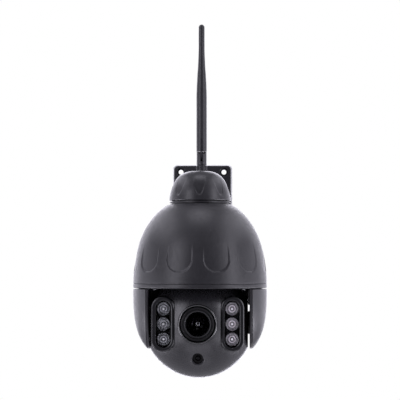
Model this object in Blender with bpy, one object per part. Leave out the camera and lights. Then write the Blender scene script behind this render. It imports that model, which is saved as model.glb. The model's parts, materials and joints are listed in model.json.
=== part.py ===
"""Pan-and-tilt security camera on a wall bracket, with a hinged stick antenna.

The origin is the centre of the wall plate's back face. +Z is up and the lens looks along -Y, off the wall.
Sizes and places below are in millimetres. The helpers turn them into Blender's metres as each mesh is made.
"""

from math import acos, asin, cos, degrees, pi, radians, sin, sqrt

import bmesh
import bpy
from mathutils import Euler, Matrix, Vector

MM = 0.001
GAP = 0.3  # air left between two pieces that touch

# Overall layout
REACH = 112.0  # wall to the vertical pan axis
RIM_Z = -85.4  # lower edge of the fixed housing
TILT_DROP = 32.9  # rim down to the tilt axis
HEAD_X = -1.1  # the head stands this far to one side between the arms
CAP_LOW = -0.9  # underside of the bracket's cap

# Egg-shaped outline, one superellipse above the rim and one below it
EGG_R = 64.5
EGG_TOP, EGG_TOP_POWER = 87.9, 2.32
EGG_LOW, EGG_LOW_POWER = 72.3, 3.0
WALL = 2.6

# Wall plate and bracket
PLATE_W, PLATE_H, PLATE_T = 61.4, 81.0, 9.0
PLATE_DRAFT = 1.5  # how far the front face is set in on every side
HOLE_X, HOLE_Z, HOLE_R = 22.1, 32.6, 2.5
CAP_R, CAP_H = 29.7, 28.0
CAP_POWERS = 1.6, 3.4  # along its height and across
ARM_WALL = 3.0
ARM_START = PLATE_T + 1.6  # the arm's root, in front of the plate and its gasket
BRACKET_SCREW_Z = 14.0
GLAND_Y = -38.0

# Antenna
ANTENNA_Y = -45.0
BOSS_TOP = 25.2
COLLAR_Z, COLLAR_H, COLLAR_R = 28.4, 9.0, 5.65
KNUCKLE_R, EAR_R, PIN_Z = 5.06, 4.97, 46.0
WHIP_Z, WHIP_TIP, WHIP_R, WHIP_TIP_R = 51.25, 180.2, 5.25, 3.0
HINGE_SLOT, LINK_T = 2.2, 1.6

# Turntable and yoke
TURNTABLE_R = 60.4
BOWL_R, BOWL_WALL = 55.0, 2.4
HUB_R, HUB_BORE, HUB_TOP = 12.0, 8.0, 44.0
SKIRT_R, SKIRT_T, SKIRT_DROP = 58.5, 3.0, 11.0  # wall that hangs from the turntable behind the head
ARM_IN, FRAME_T = 48.7, 2.3
COVER_IN = ARM_IN + FRAME_T + GAP
AXLE_R, AXLE_HUB_R = 5.7, 10.4
ARM_CLEAR = 0.5  # between the head's flat sides and the arms' hubs

# Camera head, a ball with two flat sides
BALL_R, BALL_SIDE, BALL_WALL = 53.0, 46.4, 2.5
SPLIT = 14.0  # the front shell meets the rear one this far in front of the tilt axis
HEAD_SCREWS_AT, SCREW_SEAT = ((-22, 0, 33), (22, 0, 33)), -8.0
POD_X, POD_HALF_W, POD_HALF_H, POD_FACE = 33.2, 10.7, 25.4, 45.5
WELL_X, WELL_HALF_W, WELL_HALF_H = 32.3, 7.3, 22.3
LED_PITCH, LED_R = 14.3, 6.2
BEZEL_R, HOOD_R, WINDOW_R = 18.5, 16.1, 11.6
SENSOR_DROP, SENSOR_WELL_R = 32.3, 5.1

# Turns that point local +Z along -Y, the way the lens looks, or along +Y
LOOK_FORWARD = (90, 0, 0)
LOOK_BACK = (-90, 0, 0)

# Gear pairs: teeth on the wheel and on the pinion
PAN_TEETH, TILT_TEETH, PINION_TEETH = 40, 30, 10
PAN_MODULE, TILT_MODULE = 1.2, 0.9


def clear_scene():
    for obj in list(bpy.data.objects):
        bpy.data.objects.remove(obj)


def material(name, colour, roughness, metallic=0.0):
    made = bpy.data.materials.new(name)
    made.use_nodes = True
    shader = made.node_tree.nodes["Principled BSDF"]
    shader.inputs["Base Color"].default_value = (*colour, 1.0)
    shader.inputs["Roughness"].default_value = roughness
    shader.inputs["Metallic"].default_value = metallic
    return made


def empty(name, at, parent=None):
    """A frame for pieces that share an axis. `at` is measured in the parent's frame."""
    made = bpy.data.objects.new(name, None)
    bpy.context.scene.collection.objects.link(made)
    made.parent = parent
    made.location = Vector(at) * MM
    return made


def place(name, bm, look, frame=None, at=(0, 0, 0), turn=(0, 0, 0)):
    """Turns a bmesh in millimetres into an object in its frame, with its faces pointing out."""
    bmesh.ops.recalc_face_normals(bm, faces=bm.faces)
    bmesh.ops.scale(bm, vec=(MM, MM, MM), verts=bm.verts)
    mesh = bpy.data.meshes.new(name)
    bm.to_mesh(mesh)
    bm.free()
    mesh.shade_smooth()
    mesh.set_sharp_from_angle(angle=radians(35))
    if look:
        mesh.materials.append(look)
    obj = bpy.data.objects.new(name, mesh)
    bpy.context.scene.collection.objects.link(obj)
    obj.parent = frame
    obj.location = Vector(at) * MM
    obj.rotation_euler = [radians(a) for a in turn]
    return obj


def lathe(profile, segments=32):
    """A profile of (radius, height) points turned about Z. It closes on itself unless it ends on the axis."""
    bm = bmesh.new()
    rings = []
    for radius, height in profile:
        count = segments if radius > 1e-6 else 1
        angles = [2 * pi * i / segments for i in range(count)]
        rings.append([bm.verts.new((radius * cos(a), radius * sin(a), height)) for a in angles])
    pairs = list(zip(rings, rings[1:]))
    if profile[0][0] > 1e-6 or profile[-1][0] > 1e-6:
        pairs.append((rings[-1], rings[0]))
    for low, high in pairs:
        for i in range(segments):
            j = (i + 1) % segments
            corners = [low[i % len(low)], low[j % len(low)], high[j % len(high)], high[i % len(high)]]
            distinct = list(dict.fromkeys(corners))
            if len(distinct) > 2:
                bm.faces.new(distinct)
    return bm


def prism(outline, low, high):
    """An outline of (x, y) points extruded along Z."""
    bm = bmesh.new()
    bottom = [bm.verts.new((x, y, low)) for x, y in outline]
    top = [bm.verts.new((x, y, high)) for x, y in outline]
    bm.faces.new(bottom[::-1])
    bm.faces.new(top)
    for i in range(len(outline)):
        j = (i + 1) % len(outline)
        bm.faces.new((bottom[i], bottom[j], top[j], top[i]))
    return bm


def block(centre, size):
    bm = bmesh.new()
    bmesh.ops.create_cube(bm, size=1, matrix=Matrix.Translation(centre) @ Matrix.Diagonal((*size, 1)))
    return bm


def rod(radius, low, high, segments=24):
    return lathe([(0, low), (radius, low), (radius, high), (0, high)], segments)


def tube(outer, inner, low, high, segments=32):
    return lathe([(outer, low), (outer, high), (inner, high), (inner, low)], segments)


def arc(centre, radius, start, end, steps):
    """Points on a circle between two angles in degrees."""
    angles = [radians(start + (end - start) * i / steps) for i in range(steps + 1)]
    return [(centre[0] + radius * cos(a), centre[1] + radius * sin(a)) for a in angles]


def rounded_rectangle(half_w, half_h, corner, steps=3):
    corners = ((1, 1, 0), (-1, 1, 90), (-1, -1, 180), (1, -1, 270))
    points = []
    for sx, sy, start in corners:
        centre = (sx * (half_w - corner), sy * (half_h - corner))
        points += arc(centre, corner, start, start + 90, steps)
    return points


def stadium(half_w, half_h, steps=6):
    """A slot shape with round ends, taller than it is wide."""
    rise = half_h - half_w
    return arc((0, rise), half_w, 0, 180, steps) + arc((0, -rise), half_w, 180, 360, steps)


def hexagon(across_flats):
    corner = across_flats / sqrt(3)
    return [(corner * cos(radians(60 * i)), corner * sin(radians(60 * i))) for i in range(6)]


def superellipse(t, power):
    """The radius, from 1 to 0, at height t from 0 to 1."""
    return (1 - min(t, 1.0) ** power) ** (1 / power)


def egg(height):
    """Outer radius of the whole camera at a height above or below the rim."""
    if height >= 0:
        return EGG_R * superellipse(height / EGG_TOP, EGG_TOP_POWER)
    return EGG_R * superellipse(-height / EGG_LOW, EGG_LOW_POWER)


def helper(name, bm, frame=None, at=(0, 0, 0), turn=(0, 0, 0)):
    """A shape used only by a Boolean."""
    obj = place(name, bm, None, frame, at, turn)
    obj.hide_render = True
    obj.display_type = "WIRE"
    return obj


def combine(target, tool, operation):
    modifier = target.modifiers.new(f"{operation.lower()} {tool.name}", "BOOLEAN")
    modifier.object = tool
    modifier.operation = operation
    modifier.solver = "EXACT"
    return target


def gather(shapes):
    """Puts shapes that don't touch into one bmesh. Each comes with its place and its turn in degrees."""
    whole = bmesh.new()
    for bm, at, turn in shapes:
        bm.transform(Matrix.Translation(at) @ Euler([radians(a) for a in turn]).to_matrix().to_4x4())
        part = bpy.data.meshes.new("shape")
        bm.to_mesh(part)
        bm.free()
        whole.from_mesh(part)
        bpy.data.meshes.remove(part)
    return whole


def add_blocks(target, frame, boxes):
    """Joins boxes, given as (centre, size), to a piece."""
    for centre, size in boxes:
        combine(target, helper(f"{target.name}_block", block(centre, size), frame), "UNION")


def gear_outline(teeth, module, toward):
    """Straight-sided teeth, one of them centred on the angle `toward`, with room to turn freely."""
    pitch_r = module * teeth / 2
    step = 2 * pi / teeth
    corners = ((-0.29, -1.15), (-0.10, 0.85), (0.10, 0.85), (0.29, -1.15))
    points = []
    for tooth in range(teeth):
        middle = toward + tooth * step
        for across, out in corners:
            radius = pitch_r + out * module
            angle = middle + across * step
            points.append((radius * cos(angle), radius * sin(angle)))
    return points


def screw(name, look, frame, at, turn, head_r, head_h, shank_r, shank_l):
    """A pan-head screw. Its shank points along local -Z and its head rises from z = 0."""
    profile = [(0, -shank_l), (shank_r, -shank_l), (shank_r, 0)]
    profile += [(head_r, 0), (head_r, head_h * 0.55), (head_r * 0.7, head_h), (0, head_h)]
    made = place(name, lathe(profile, 10), look, frame, at, turn)
    long, short = head_r * 0.55, head_r * 0.16
    cross = [(long, short), (short, short), (short, long), (-short, long), (-short, short), (-long, short)]
    cross += [(-x, -y) for x, y in cross]
    recess = prism(cross, head_h * 0.4, head_h * 1.5)
    return combine(made, helper(f"{name}_recess", recess, frame, at, turn), "DIFFERENCE")


clear_scene()

SHELL = material("shell_plastic", (0.045, 0.044, 0.048), 0.45)
BRACKET = material("bracket_plastic", (0.04, 0.039, 0.043), 0.5)
FRAME_PLASTIC = material("frame_plastic", (0.02, 0.02, 0.022), 0.5)
BLACK_GLOSS = material("black_gloss", (0.01, 0.01, 0.011), 0.2)
RUBBER = material("rubber", (0.02, 0.02, 0.02), 0.8)
STEEL = material("steel", (0.6, 0.6, 0.6), 0.3, 1.0)
BRASS = material("gold_plated_brass", (0.75, 0.55, 0.25), 0.3, 1.0)
ACETAL = material("white_acetal", (0.75, 0.74, 0.7), 0.5)
BOARD = material("circuit_board", (0.02, 0.12, 0.05), 0.5)
MOTOR_CASE = material("motor_case", (0.55, 0.56, 0.57), 0.4, 0.9)
GLASS = material("optical_glass", (0.02, 0.02, 0.03), 0.05)
CLEAR = material("clear_plastic", (0.8, 0.8, 0.8), 0.1)
ANTENNA_LOOK = material("antenna_plastic", (0.05, 0.049, 0.053), 0.5)

housing_frame = empty("housing_frame", (0, -REACH, RIM_Z))
pan_axis = empty("pan_axis", (0, -REACH, RIM_Z))
tilt_axis = empty("tilt_axis", (HEAD_X, 0, -TILT_DROP), pan_axis)
antenna_axis = empty("antenna_axis", (0, ANTENNA_Y, 0))


# ---------------------------------------------------------------- wall bracket
def wall_plate():
    bm = prism(rounded_rectangle(PLATE_W / 2, PLATE_H / 2, 4), 0, PLATE_T)
    for vert in bm.verts:
        if vert.co.z > 1:
            vert.co.x *= 1 - 2 * PLATE_DRAFT / PLATE_W
            vert.co.y *= 1 - 2 * PLATE_DRAFT / PLATE_H
    plate = place("wall_plate", bm, BRACKET, turn=LOOK_FORWARD)
    wall_bore = [(0, -1), (HOLE_R, -1), (HOLE_R, PLATE_T - 2.5), (4.2, PLATE_T - 2.5), (4.2, PLATE_T + 1)]
    wall_bore.append((0, PLATE_T + 1))
    arm_bore = [(0, -1), (4.2, -1), (4.2, 4.5), (2.1, 4.5), (2.1, PLATE_T + 1), (0, PLATE_T + 1)]
    corners = [(x, 0, z) for x in (-HOLE_X, HOLE_X) for z in (-HOLE_Z, HOLE_Z)]
    holes = [(lathe(wall_bore, 16), corner, LOOK_FORWARD) for corner in corners]
    holes += [(lathe(arm_bore, 12), (0, 0, z), LOOK_FORWARD) for z in (-BRACKET_SCREW_Z, BRACKET_SCREW_Z)]
    combine(plate, helper("plate_holes", gather(holes)), "DIFFERENCE")


def arm_section(half_w, low, high, steps=16, power=2.6):
    """A rounded section of the arm, as (x, z) points."""
    middle, half_h = (low + high) / 2, (high - low) / 2
    points = []
    for i in range(steps):
        a = 2 * pi * (i + 0.5) / steps
        c, s = cos(a), sin(a)
        scale = (abs(c) ** power + abs(s) ** power) ** (-1 / power)
        points.append((half_w * scale * c, middle + half_h * scale * s))
    return points


def arm_loft(inset, start):
    """The arm between its root and the middle of the cap, made smaller all round by `inset`."""
    stations = ((ARM_START, 23, -27, 24), (22, 20.5, -22, 22.5), (38, 19.5, -17, 22.5), (56, 20, -9, 23))
    stations += ((76, 22.5, 0.8, 24.3), (90, 23.3, 1.3, 24.9), (REACH - 3.7, 23.3, 1.3, 24.9))
    bm = bmesh.new()
    rings = []
    for distance, half_w, low, high in stations:
        section = arm_section(half_w - inset, low + inset, high - inset)
        y = -max(distance, start)
        rings.append([bm.verts.new((x, y, z)) for x, z in section])
    for near, far in zip(rings, rings[1:]):
        for i in range(len(near)):
            j = (i + 1) % len(near)
            bm.faces.new((near[i], near[j], far[j], far[i]))
    bm.faces.new(rings[0])
    bm.faces.new(rings[-1][::-1])
    bmesh.ops.triangulate(bm, faces=[face for face in bm.faces if len(face.verts) == 4])
    return bm


def cap_profile(inset, low):
    """The cap's section: an upright skirt from `low` up to z = 0, and a squarish dome over it."""
    rise = CAP_H - inset
    heights = [rise * sin(radians(90) * i / 7) for i in range(8)]
    up, across = CAP_POWERS
    curve = [((CAP_R - inset) * (1 - (h / rise) ** up) ** (1 / across), h) for h in heights[:-1]]
    return [(0, low), (CAP_R - inset, low)] + curve + [(0, rise)]


def bracket_arm():
    arm = place("bracket_arm", arm_loft(0, 0), BRACKET)
    dome_at = (0, -REACH, 0)
    combine(arm, helper("cap_dome", lathe(cap_profile(0, CAP_LOW), 24), at=dome_at), "UNION")
    mast, gland, upright = (0, ANTENNA_Y, 0), (0, GLAND_Y, 0), (0, 0, 0)
    bosses = [(rod(7.6, 15, BOSS_TOP), mast, upright), (rod(10, -21, -10), gland, upright)]
    combine(arm, helper("arm_bosses", gather(bosses)), "UNION")
    hollow = helper("arm_hollow", arm_loft(ARM_WALL, ARM_START + 6))
    combine(hollow, helper("cap_hollow", lathe(cap_profile(ARM_WALL, -3), 24), at=dome_at), "UNION")
    holes = [(rod(3.4, 10, 30, 16), mast, upright), (rod(6.4, -25, -5, 16), gland, upright)]
    holes += [(rod(1.9, 5, 25, 12), (0, 0, z), LOOK_FORWARD) for z in (-BRACKET_SCREW_Z, BRACKET_SCREW_Z)]
    combine(hollow, helper("arm_holes", gather(holes)), "UNION")
    combine(arm, hollow, "DIFFERENCE")


def arm_gasket():
    outline = [(x, z) for x, z in arm_section(22, -26, 23)]
    gasket = place("arm_gasket", prism(outline, PLATE_T + GAP, ARM_START - GAP), RUBBER, turn=LOOK_FORWARD)
    holes = [(rod(2.1, 5, 15, 12), (0, 0, z), LOOK_FORWARD) for z in (-BRACKET_SCREW_Z, BRACKET_SCREW_Z)]
    combine(gasket, helper("gasket_holes", gather(holes)), "DIFFERENCE")


def bracket_screws():
    for i, z in enumerate((-BRACKET_SCREW_Z, BRACKET_SCREW_Z)):
        at = (0, -(4.5 - GAP), z)
        screw(f"bracket_screw_{i + 1}", STEEL, None, at, LOOK_BACK, 3.6, 3.2, 1.6, 12)


def cable_gland():
    """The threaded nut and its rubber seal, where the lead leaves the arm's underside."""
    at = (0, GLAND_Y, 0)
    nut = place("gland_nut", prism(hexagon(15), -27, -21 - GAP), FRAME_PLASTIC, at=at)
    combine(nut, helper("gland_thread", rod(6.1, -22, -9, 20), at=at), "UNION")
    combine(nut, helper("gland_bore", rod(4.4, -30, -5, 20), at=at), "DIFFERENCE")
    place("gland_seal", tube(4.1, 3.3, -28, -9, 20), RUBBER, at=at)


# ---------------------------------------------------------------- antenna
def antenna():
    seat = BOSS_TOP + GAP
    jack = [(0, 12), (3.1, 12), (3.1, seat), (5.2, seat), (5.2, 28), (3.1, 28), (3.1, 35), (0, 35)]
    place("antenna_jack", lathe(jack, 16), BRASS, antenna_axis)

    ribs = 20
    outline = []
    for i in range(2 * ribs):
        radius = COLLAR_R - (0.45 if i % 2 else 0)
        angle = pi * i / ribs
        outline.append((radius * cos(angle), radius * sin(angle)))
    collar_top = COLLAR_Z + COLLAR_H
    collar = place("antenna_collar", prism(outline, COLLAR_Z, collar_top), ANTENNA_LOOK, antenna_axis)
    combine(collar, helper("collar_thread", rod(3.4, 20, 35 + GAP, 16), antenna_axis), "DIFFERENCE")

    low = collar_top + GAP
    knuckle = place("antenna_knuckle", rod(KNUCKLE_R, low, PIN_Z + 6, 16), ANTENNA_LOOK, antenna_axis)
    # The ears are rounded about the hinge pin, so that the whip's flat end can swing over them.
    ears = arc((0, PIN_Z), EAR_R, 0, 180, 10) + [(-EAR_R, 30), (EAR_R, 30)]
    rounding = helper("ear_rounding", prism(ears, -8, 8), antenna_axis, turn=(90, 0, 90))
    combine(knuckle, rounding, "INTERSECT")
    slot = block((0, 0, 52), (HINGE_SLOT, 20, 20))
    combine(knuckle, helper("knuckle_slot", slot, antenna_axis), "DIFFERENCE")
    pin_hole = helper("pin_hole", rod(1.2, -8, 8, 12), antenna_axis, (0, 0, PIN_Z), (0, 90, 0))
    combine(knuckle, pin_hole, "DIFFERENCE")
    place("antenna_pin", rod(0.9, -4.4, 4.4, 12), STEEL, antenna_axis, (0, 0, PIN_Z), (0, 90, 0))

    link_outline = arc((0, PIN_Z), 3.5, 180, 360, 8) + [(3.5, 63.6), (-3.5, 63.6)]
    link_bar = prism(link_outline, -LINK_T / 2, LINK_T / 2)
    link = place("antenna_link", link_bar, FRAME_PLASTIC, antenna_axis, turn=(90, 0, 90))
    link_hole = helper("link_hole", rod(1.2, -4, 4, 12), antenna_axis, (0, 0, PIN_Z), (0, 90, 0))
    combine(link, link_hole, "DIFFERENCE")

    taper = [(108, WHIP_R), (118, 4.9), (128, 4.4), (138.5, 3.65), (149, 3.2), (156, WHIP_TIP_R)]
    profile = [(0, WHIP_Z), (WHIP_R - 0.4, WHIP_Z), (WHIP_R, WHIP_Z + 0.4)] + [(r, z) for z, r in taper]
    tip = arc((0, WHIP_TIP - WHIP_TIP_R), WHIP_TIP_R, 0, 90, 4)
    whip = place("antenna_whip", lathe(profile + tip[:-1] + [(0, WHIP_TIP)], 16), ANTENNA_LOOK, antenna_axis)
    slot = block((0, 0, 57.3), (HINGE_SLOT, 20, 14.8))
    combine(whip, helper("whip_slot", slot, antenna_axis), "DIFFERENCE")


# ---------------------------------------------------------------- fixed housing
HOUSING_LOW, HOUSING_TOP, LIP_R, LIP_BORE = 3.9, 80.4, 29.3, 19.0
LIP_TOP = HOUSING_TOP + 0.7


def upper_housing():
    heights = [HOUSING_LOW + (HOUSING_TOP - HOUSING_LOW) * sin(radians(90) * i / 9) for i in range(10)]
    outer = [(egg(h), h) for h in heights]
    inner = [(egg(h) - WALL, h) for h in heights[-3::-2]]
    lip = [(LIP_R, LIP_TOP), (LIP_BORE, LIP_TOP), (LIP_BORE, HOUSING_TOP - WALL)]
    lip.append((30.4, HOUSING_TOP - WALL))
    place("upper_housing", lathe(outer + lip + inner, 32), SHELL, housing_frame)


def housing_ring():
    profile = [(61.0, 0), (EGG_R, 0), (EGG_R, 3.4), (60.8, 3.4)]
    profile += [(60.8, 6.2), (59.4, 6.2), (59.4, 8.2), (60.8, 8.2)]
    profile += [(60.8, 9.6), (58.0, 9.6), (58.0, 6.0), (49.0, 6.0), (49.0, 3.5), (61.0, 3.5)]
    ring = place("housing_ring", lathe(profile, 32), SHELL, housing_frame)
    for i in range(3):
        angle = radians(90 + 120 * i)
        at = (53 * cos(angle), 53 * sin(angle), 0)
        post = helper("chassis_post", rod(3.2, 5, 29.7, 8), housing_frame, at)
        combine(ring, post, "UNION")


def housing_seal():
    section = [(59.7, 6.5), (60.9, 6.5), (60.9, 7.9), (59.7, 7.9)]
    place("housing_seal", lathe(section, 32), RUBBER, housing_frame)


def neck_tube():
    """Joins housing and cap. Its flange shows as a band between two grooves."""
    band_low, band_high = LIP_TOP + 1.1, LIP_TOP + 2.3
    top = CAP_LOW - RIM_Z - GAP
    profile = [(15, 71.5), (18.5, 71.5), (18.5, LIP_TOP + GAP), (27.4, LIP_TOP + GAP), (27.4, band_low)]
    profile += [(LIP_R, band_low), (LIP_R, band_high), (27.4, band_high), (27.4, top)]
    profile += [(23, top), (23, top + 9)]
    profile.append((15, top + 9))
    place("neck_tube", lathe(profile, 24), SHELL, housing_frame)
    nut_top = HOUSING_TOP - WALL - GAP
    place("neck_nut", tube(24, 18.8, nut_top - 5, nut_top, 24), FRAME_PLASTIC, housing_frame)


CHASSIS_LOW, CHASSIS_TOP, BRIDGE_Z = 30.0, 32.4, 40.0
PAN_GEAR_LOW, PAN_GEAR_TOP = 33.6, 37.6
PAN_CENTRES = PAN_MODULE * (PAN_TEETH + PINION_TEETH) / 2
BEARING_LOW, BEARING_TOP = 28.0, 33.0


def chassis():
    plate = place("chassis_plate", tube(57, 18, CHASSIS_LOW, CHASSIS_TOP, 32), MOTOR_CASE, housing_frame)
    legs = [((x, PAN_CENTRES + 5, 36.5), (2, 22, 9)) for x in (-20, 20)]
    add_blocks(plate, housing_frame, [((0, PAN_CENTRES, BRIDGE_Z + 1), (42, 32, 2))] + legs)
    shaft_hole = helper("bridge_hole", rod(5, 38, 44, 16), housing_frame, (0, PAN_CENTRES, 0))
    combine(plate, shaft_hole, "DIFFERENCE")


def pan_drive():
    """Bearing races, motor, pinion and the large gear on the turntable's hub."""
    race = tube(17.7, 15.6, BEARING_LOW, BEARING_TOP, 24)
    place("pan_bearing_outer", race, STEEL, housing_frame)
    race = tube(14.6, HUB_R + GAP, BEARING_LOW, BEARING_TOP, 24)
    place("pan_bearing_inner", race, STEEL, pan_axis)

    pinion_at = (0, PAN_CENTRES, 0)
    case = [(0, 32.9), (1.7, 32.9), (1.7, 39), (4.5, 39), (4.5, 42 + GAP), (14, 42 + GAP)]
    case += [(14, 60.5), (0, 60.5)]
    place("pan_motor", lathe(case, 16), MOTOR_CASE, housing_frame, pinion_at)

    toward_pinion = pi / 2
    outline = gear_outline(PAN_TEETH, PAN_MODULE, toward_pinion)
    gear = place("pan_gear", prism(outline, PAN_GEAR_LOW, PAN_GEAR_TOP), ACETAL, pan_axis)
    bore = helper("pan_gear_bore", rod(HUB_R + GAP, 30, 40, 24), pan_axis)
    combine(gear, bore, "DIFFERENCE")

    half_tooth = pi / PINION_TEETH
    outline = gear_outline(PINION_TEETH, PAN_MODULE, toward_pinion + pi + half_tooth)
    pinion = place("pan_pinion", prism(outline, PAN_GEAR_LOW, PAN_GEAR_TOP), BRASS, housing_frame, pinion_at)
    bore = helper("pan_pinion_bore", rod(2.0, 30, 40, 12), housing_frame, pinion_at)
    combine(pinion, bore, "DIFFERENCE")


def main_board():
    """A round board above the motor, with its processor's heat sink, transformer and sockets."""
    board = place("main_board", tube(36, 5, 63, 64.6, 32), BOARD, housing_frame)
    parts = [((17, 10, 66.4), (15, 15, 4)), ((-18, 10, 66), (12, 14, 3.2)), ((0, -20, 66.6), (16, 10, 4.4))]
    parts += [((-21, -10, 65.6), (8, 10, 2.4)), ((22, -9, 65.8), (6, 6, 2.8))]
    add_blocks(board, housing_frame, parts)


# ---------------------------------------------------------------- turntable and yoke
def bowl_arc(radius, start_r, end_r, steps):
    """Points on the bowl above the ball, between two distances from the pan axis."""
    first, last = asin(start_r / radius), asin(end_r / radius)
    angles = [first + (last - first) * i / steps for i in range(steps + 1)]
    return [(radius * sin(a), radius * cos(a) - TILT_DROP) for a in angles]


def turntable():
    """The rotating base: a flange inside the ring, a bowl over the ball, a rear skirt and a hollow hub."""
    inner_rim = sqrt(BOWL_R**2 - TILT_DROP**2)
    outer_bowl = BOWL_R + BOWL_WALL
    outer_rim = sqrt(outer_bowl**2 - (TILT_DROP + 3) ** 2)
    profile = bowl_arc(BOWL_R, HUB_BORE, inner_rim, 4) + [(TURNTABLE_R, 0), (TURNTABLE_R, 3.0)]
    profile += bowl_arc(outer_bowl, outer_rim, HUB_R, 4) + [(HUB_R, HUB_TOP), (HUB_BORE, HUB_TOP)]
    base = place("yoke_turntable", lathe(profile, 32), FRAME_PLASTIC, pan_axis)
    half_w = ARM_IN - 0.5
    ends = [degrees(acos(half_w / radius)) for radius in (SKIRT_R, SKIRT_R - SKIRT_T)]
    outline = arc((0, 0), SKIRT_R, ends[0], 180 - ends[0], 14)
    outline += arc((0, 0), SKIRT_R - SKIRT_T, 180 - ends[1], ends[1], 14)
    combine(base, helper("rear_skirt", prism(outline, -SKIRT_DROP, 1.5), pan_axis), "UNION")
    for x in (-42.8, 42.8):
        hole = helper("turntable_screw_hole", rod(1.7, -2, 4, 12), pan_axis, (x, -28, 0))
        combine(base, hole, "DIFFERENCE")


def turntable_screws():
    for side, x in (("left", -42.8), ("right", 42.8)):
        screw(f"turntable_screw_{side}", STEEL, pan_axis, (x, -28, -GAP), (180, 0, 0), 2.3, 1.5, 1.35, 3)


def tongue_outline(plane, inset, top):
    """Side view of an arm, where a plane beside the head cuts the egg: (y, z) points from front to back."""
    low = -EGG_LOW * superellipse(plane / EGG_R, EGG_LOW_POWER)
    steps = 12
    half = []
    for i in range(steps + 1):
        z = top + (low - top) * sin(radians(90) * i / steps)
        reach = sqrt(max(egg(z) ** 2 - plane**2, 0))
        half.append((reach, z))
    shrink = [(max(y - inset, 0), min(z + inset * i / steps, top)) for i, (y, z) in enumerate(half)]
    return shrink + [(-y, z) for y, z in reversed(shrink[:-1])]


def arm_frame(side, sign):
    """The inner plate of one arm, with a thick root under the turntable and a round hub on the tilt axis."""
    outline = tongue_outline(ARM_IN + FRAME_T, 0.6, -GAP)
    bm = prism(outline, ARM_IN, ARM_IN + FRAME_T)
    if sign < 0:
        bmesh.ops.scale(bm, vec=(1, 1, -1), verts=bm.verts)
    frame = place(f"arm_frame_{side}", bm, FRAME_PLASTIC, pan_axis, turn=(90, 0, 90))
    head_side = BALL_SIDE + sign * HEAD_X
    root_in, root_out = head_side + ARM_CLEAR, ARM_IN + 0.9
    root = ((sign * (root_in + root_out) / 2, 0, -9.9), (root_out - root_in, 54, 19.2))
    add_blocks(frame, pan_axis, [root])
    hub_shape = rod(AXLE_HUB_R, head_side + ARM_CLEAR, 50)
    hub = helper(f"arm_hub_{side}", hub_shape, pan_axis, (0, 0, -TILT_DROP), (0, 90 * sign, 0))
    combine(frame, hub, "UNION")
    at, turn = (0, 0, -TILT_DROP), (0, 90 * sign, 0)
    bore = helper(f"arm_bore_{side}", rod(AXLE_R + GAP, 44, 54, 16), pan_axis, at, turn)
    combine(frame, bore, "DIFFERENCE")


def lower_egg(inset, low, top, segments):
    heights = [top + (low - top) * sin(radians(90) * i / 10) for i in range(11)]
    curve = [(egg(h) - inset, h) for h in heights]
    return lathe([(0, top)] + curve + [(0, low)], segments)


def arm_cover(side, sign):
    """The outer shell of one arm: a slice of the egg outside a plane beside the head, hollowed from there."""
    half_space = 20.0
    cover = place(f"arm_cover_{side}", lower_egg(0, -62, -0.5, 56), SHELL, pan_axis)
    middle = sign * (COVER_IN + half_space / 2)
    slab = block((middle, 0, -35), (half_space, 120, 90))
    combine(cover, helper(f"cover_slab_{side}", slab, pan_axis), "INTERSECT")
    core = helper(f"cover_core_{side}", lower_egg(2.2, -58, -3, 56), pan_axis)
    inner = block((sign * (COVER_IN + half_space / 2 - 1), 0, -35), (half_space, 120, 90))
    combine(core, helper(f"cover_inner_{side}", inner, pan_axis), "INTERSECT")
    combine(cover, core, "DIFFERENCE")


TILT_GEAR_IN, TILT_GEAR_OUT = 39.5, 42.5
TILT_CENTRES = TILT_MODULE * (TILT_TEETH + PINION_TEETH) / 2


def tilt_axles():
    """Two stub axles, each put in from the arm. The left one holds the gear, the right one passes cables."""
    for side, sign, bore in (("left", -1, 0), ("right", 1, 3.5)):
        flange_in = COVER_IN - sign * HEAD_X
        profile = [(bore, 38), (AXLE_R, 38), (AXLE_R, flange_in), (9, flange_in), (9, flange_in + 2)]
        profile.append((bore, flange_in + 2))
        place(f"tilt_axle_{side}", lathe(profile, 16), STEEL, tilt_axis, turn=(0, 90 * sign, 0))


def tilt_drive():
    """The gear fixed to the left axle, and the motor and pinion that ride in the head behind it."""
    # In the turned frame local x runs down and local y to the rear, where the pinion stands.
    toward_pinion = pi / 2
    outline = gear_outline(TILT_TEETH, TILT_MODULE, toward_pinion)
    wheel = prism(outline, TILT_GEAR_IN, TILT_GEAR_OUT)
    gear = place("tilt_gear", wheel, ACETAL, tilt_axis, turn=(0, -90, 0))
    bore = helper("tilt_gear_bore", rod(AXLE_R + GAP, 35, 45, 16), tilt_axis, turn=(0, -90, 0))
    combine(gear, bore, "DIFFERENCE")

    at = (0, TILT_CENTRES, 0)
    half_tooth = pi / PINION_TEETH
    outline = gear_outline(PINION_TEETH, TILT_MODULE, toward_pinion + pi + half_tooth)
    wheel = prism(outline, TILT_GEAR_IN, TILT_GEAR_OUT)
    pinion = place("tilt_pinion", wheel, BRASS, tilt_axis, at, (0, -90, 0))
    bore = helper("tilt_pinion_bore", rod(1.8, 35, 45, 12), tilt_axis, at, (0, -90, 0))
    combine(pinion, bore, "DIFFERENCE")
    case = [(0, 18), (12, 18), (12, 36), (4, 36), (4, 38.6), (1.5, 38.6), (1.5, 42.8), (0, 42.8)]
    place("tilt_motor", lathe(case, 16), MOTOR_CASE, tilt_axis, at, (0, -90, 0))


# ---------------------------------------------------------------- camera head
def ball_cap(radius, low, segments=28):
    """A solid ball cut off at `low`, on its way forward."""
    start = asin(low / radius)
    steps = 7
    angles = [start + (pi / 2 - start) * i / steps for i in range(steps)]
    return lathe([(0, low)] + [(radius * cos(a), radius * sin(a)) for a in angles] + [(0, radius)], segments)


def flat_sided(obj, side, frame):
    slab = block((0, 0, 0), (2 * side, 130, 130))
    return combine(obj, helper(f"{obj.name}_sides", slab, frame), "INTERSECT")


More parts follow.
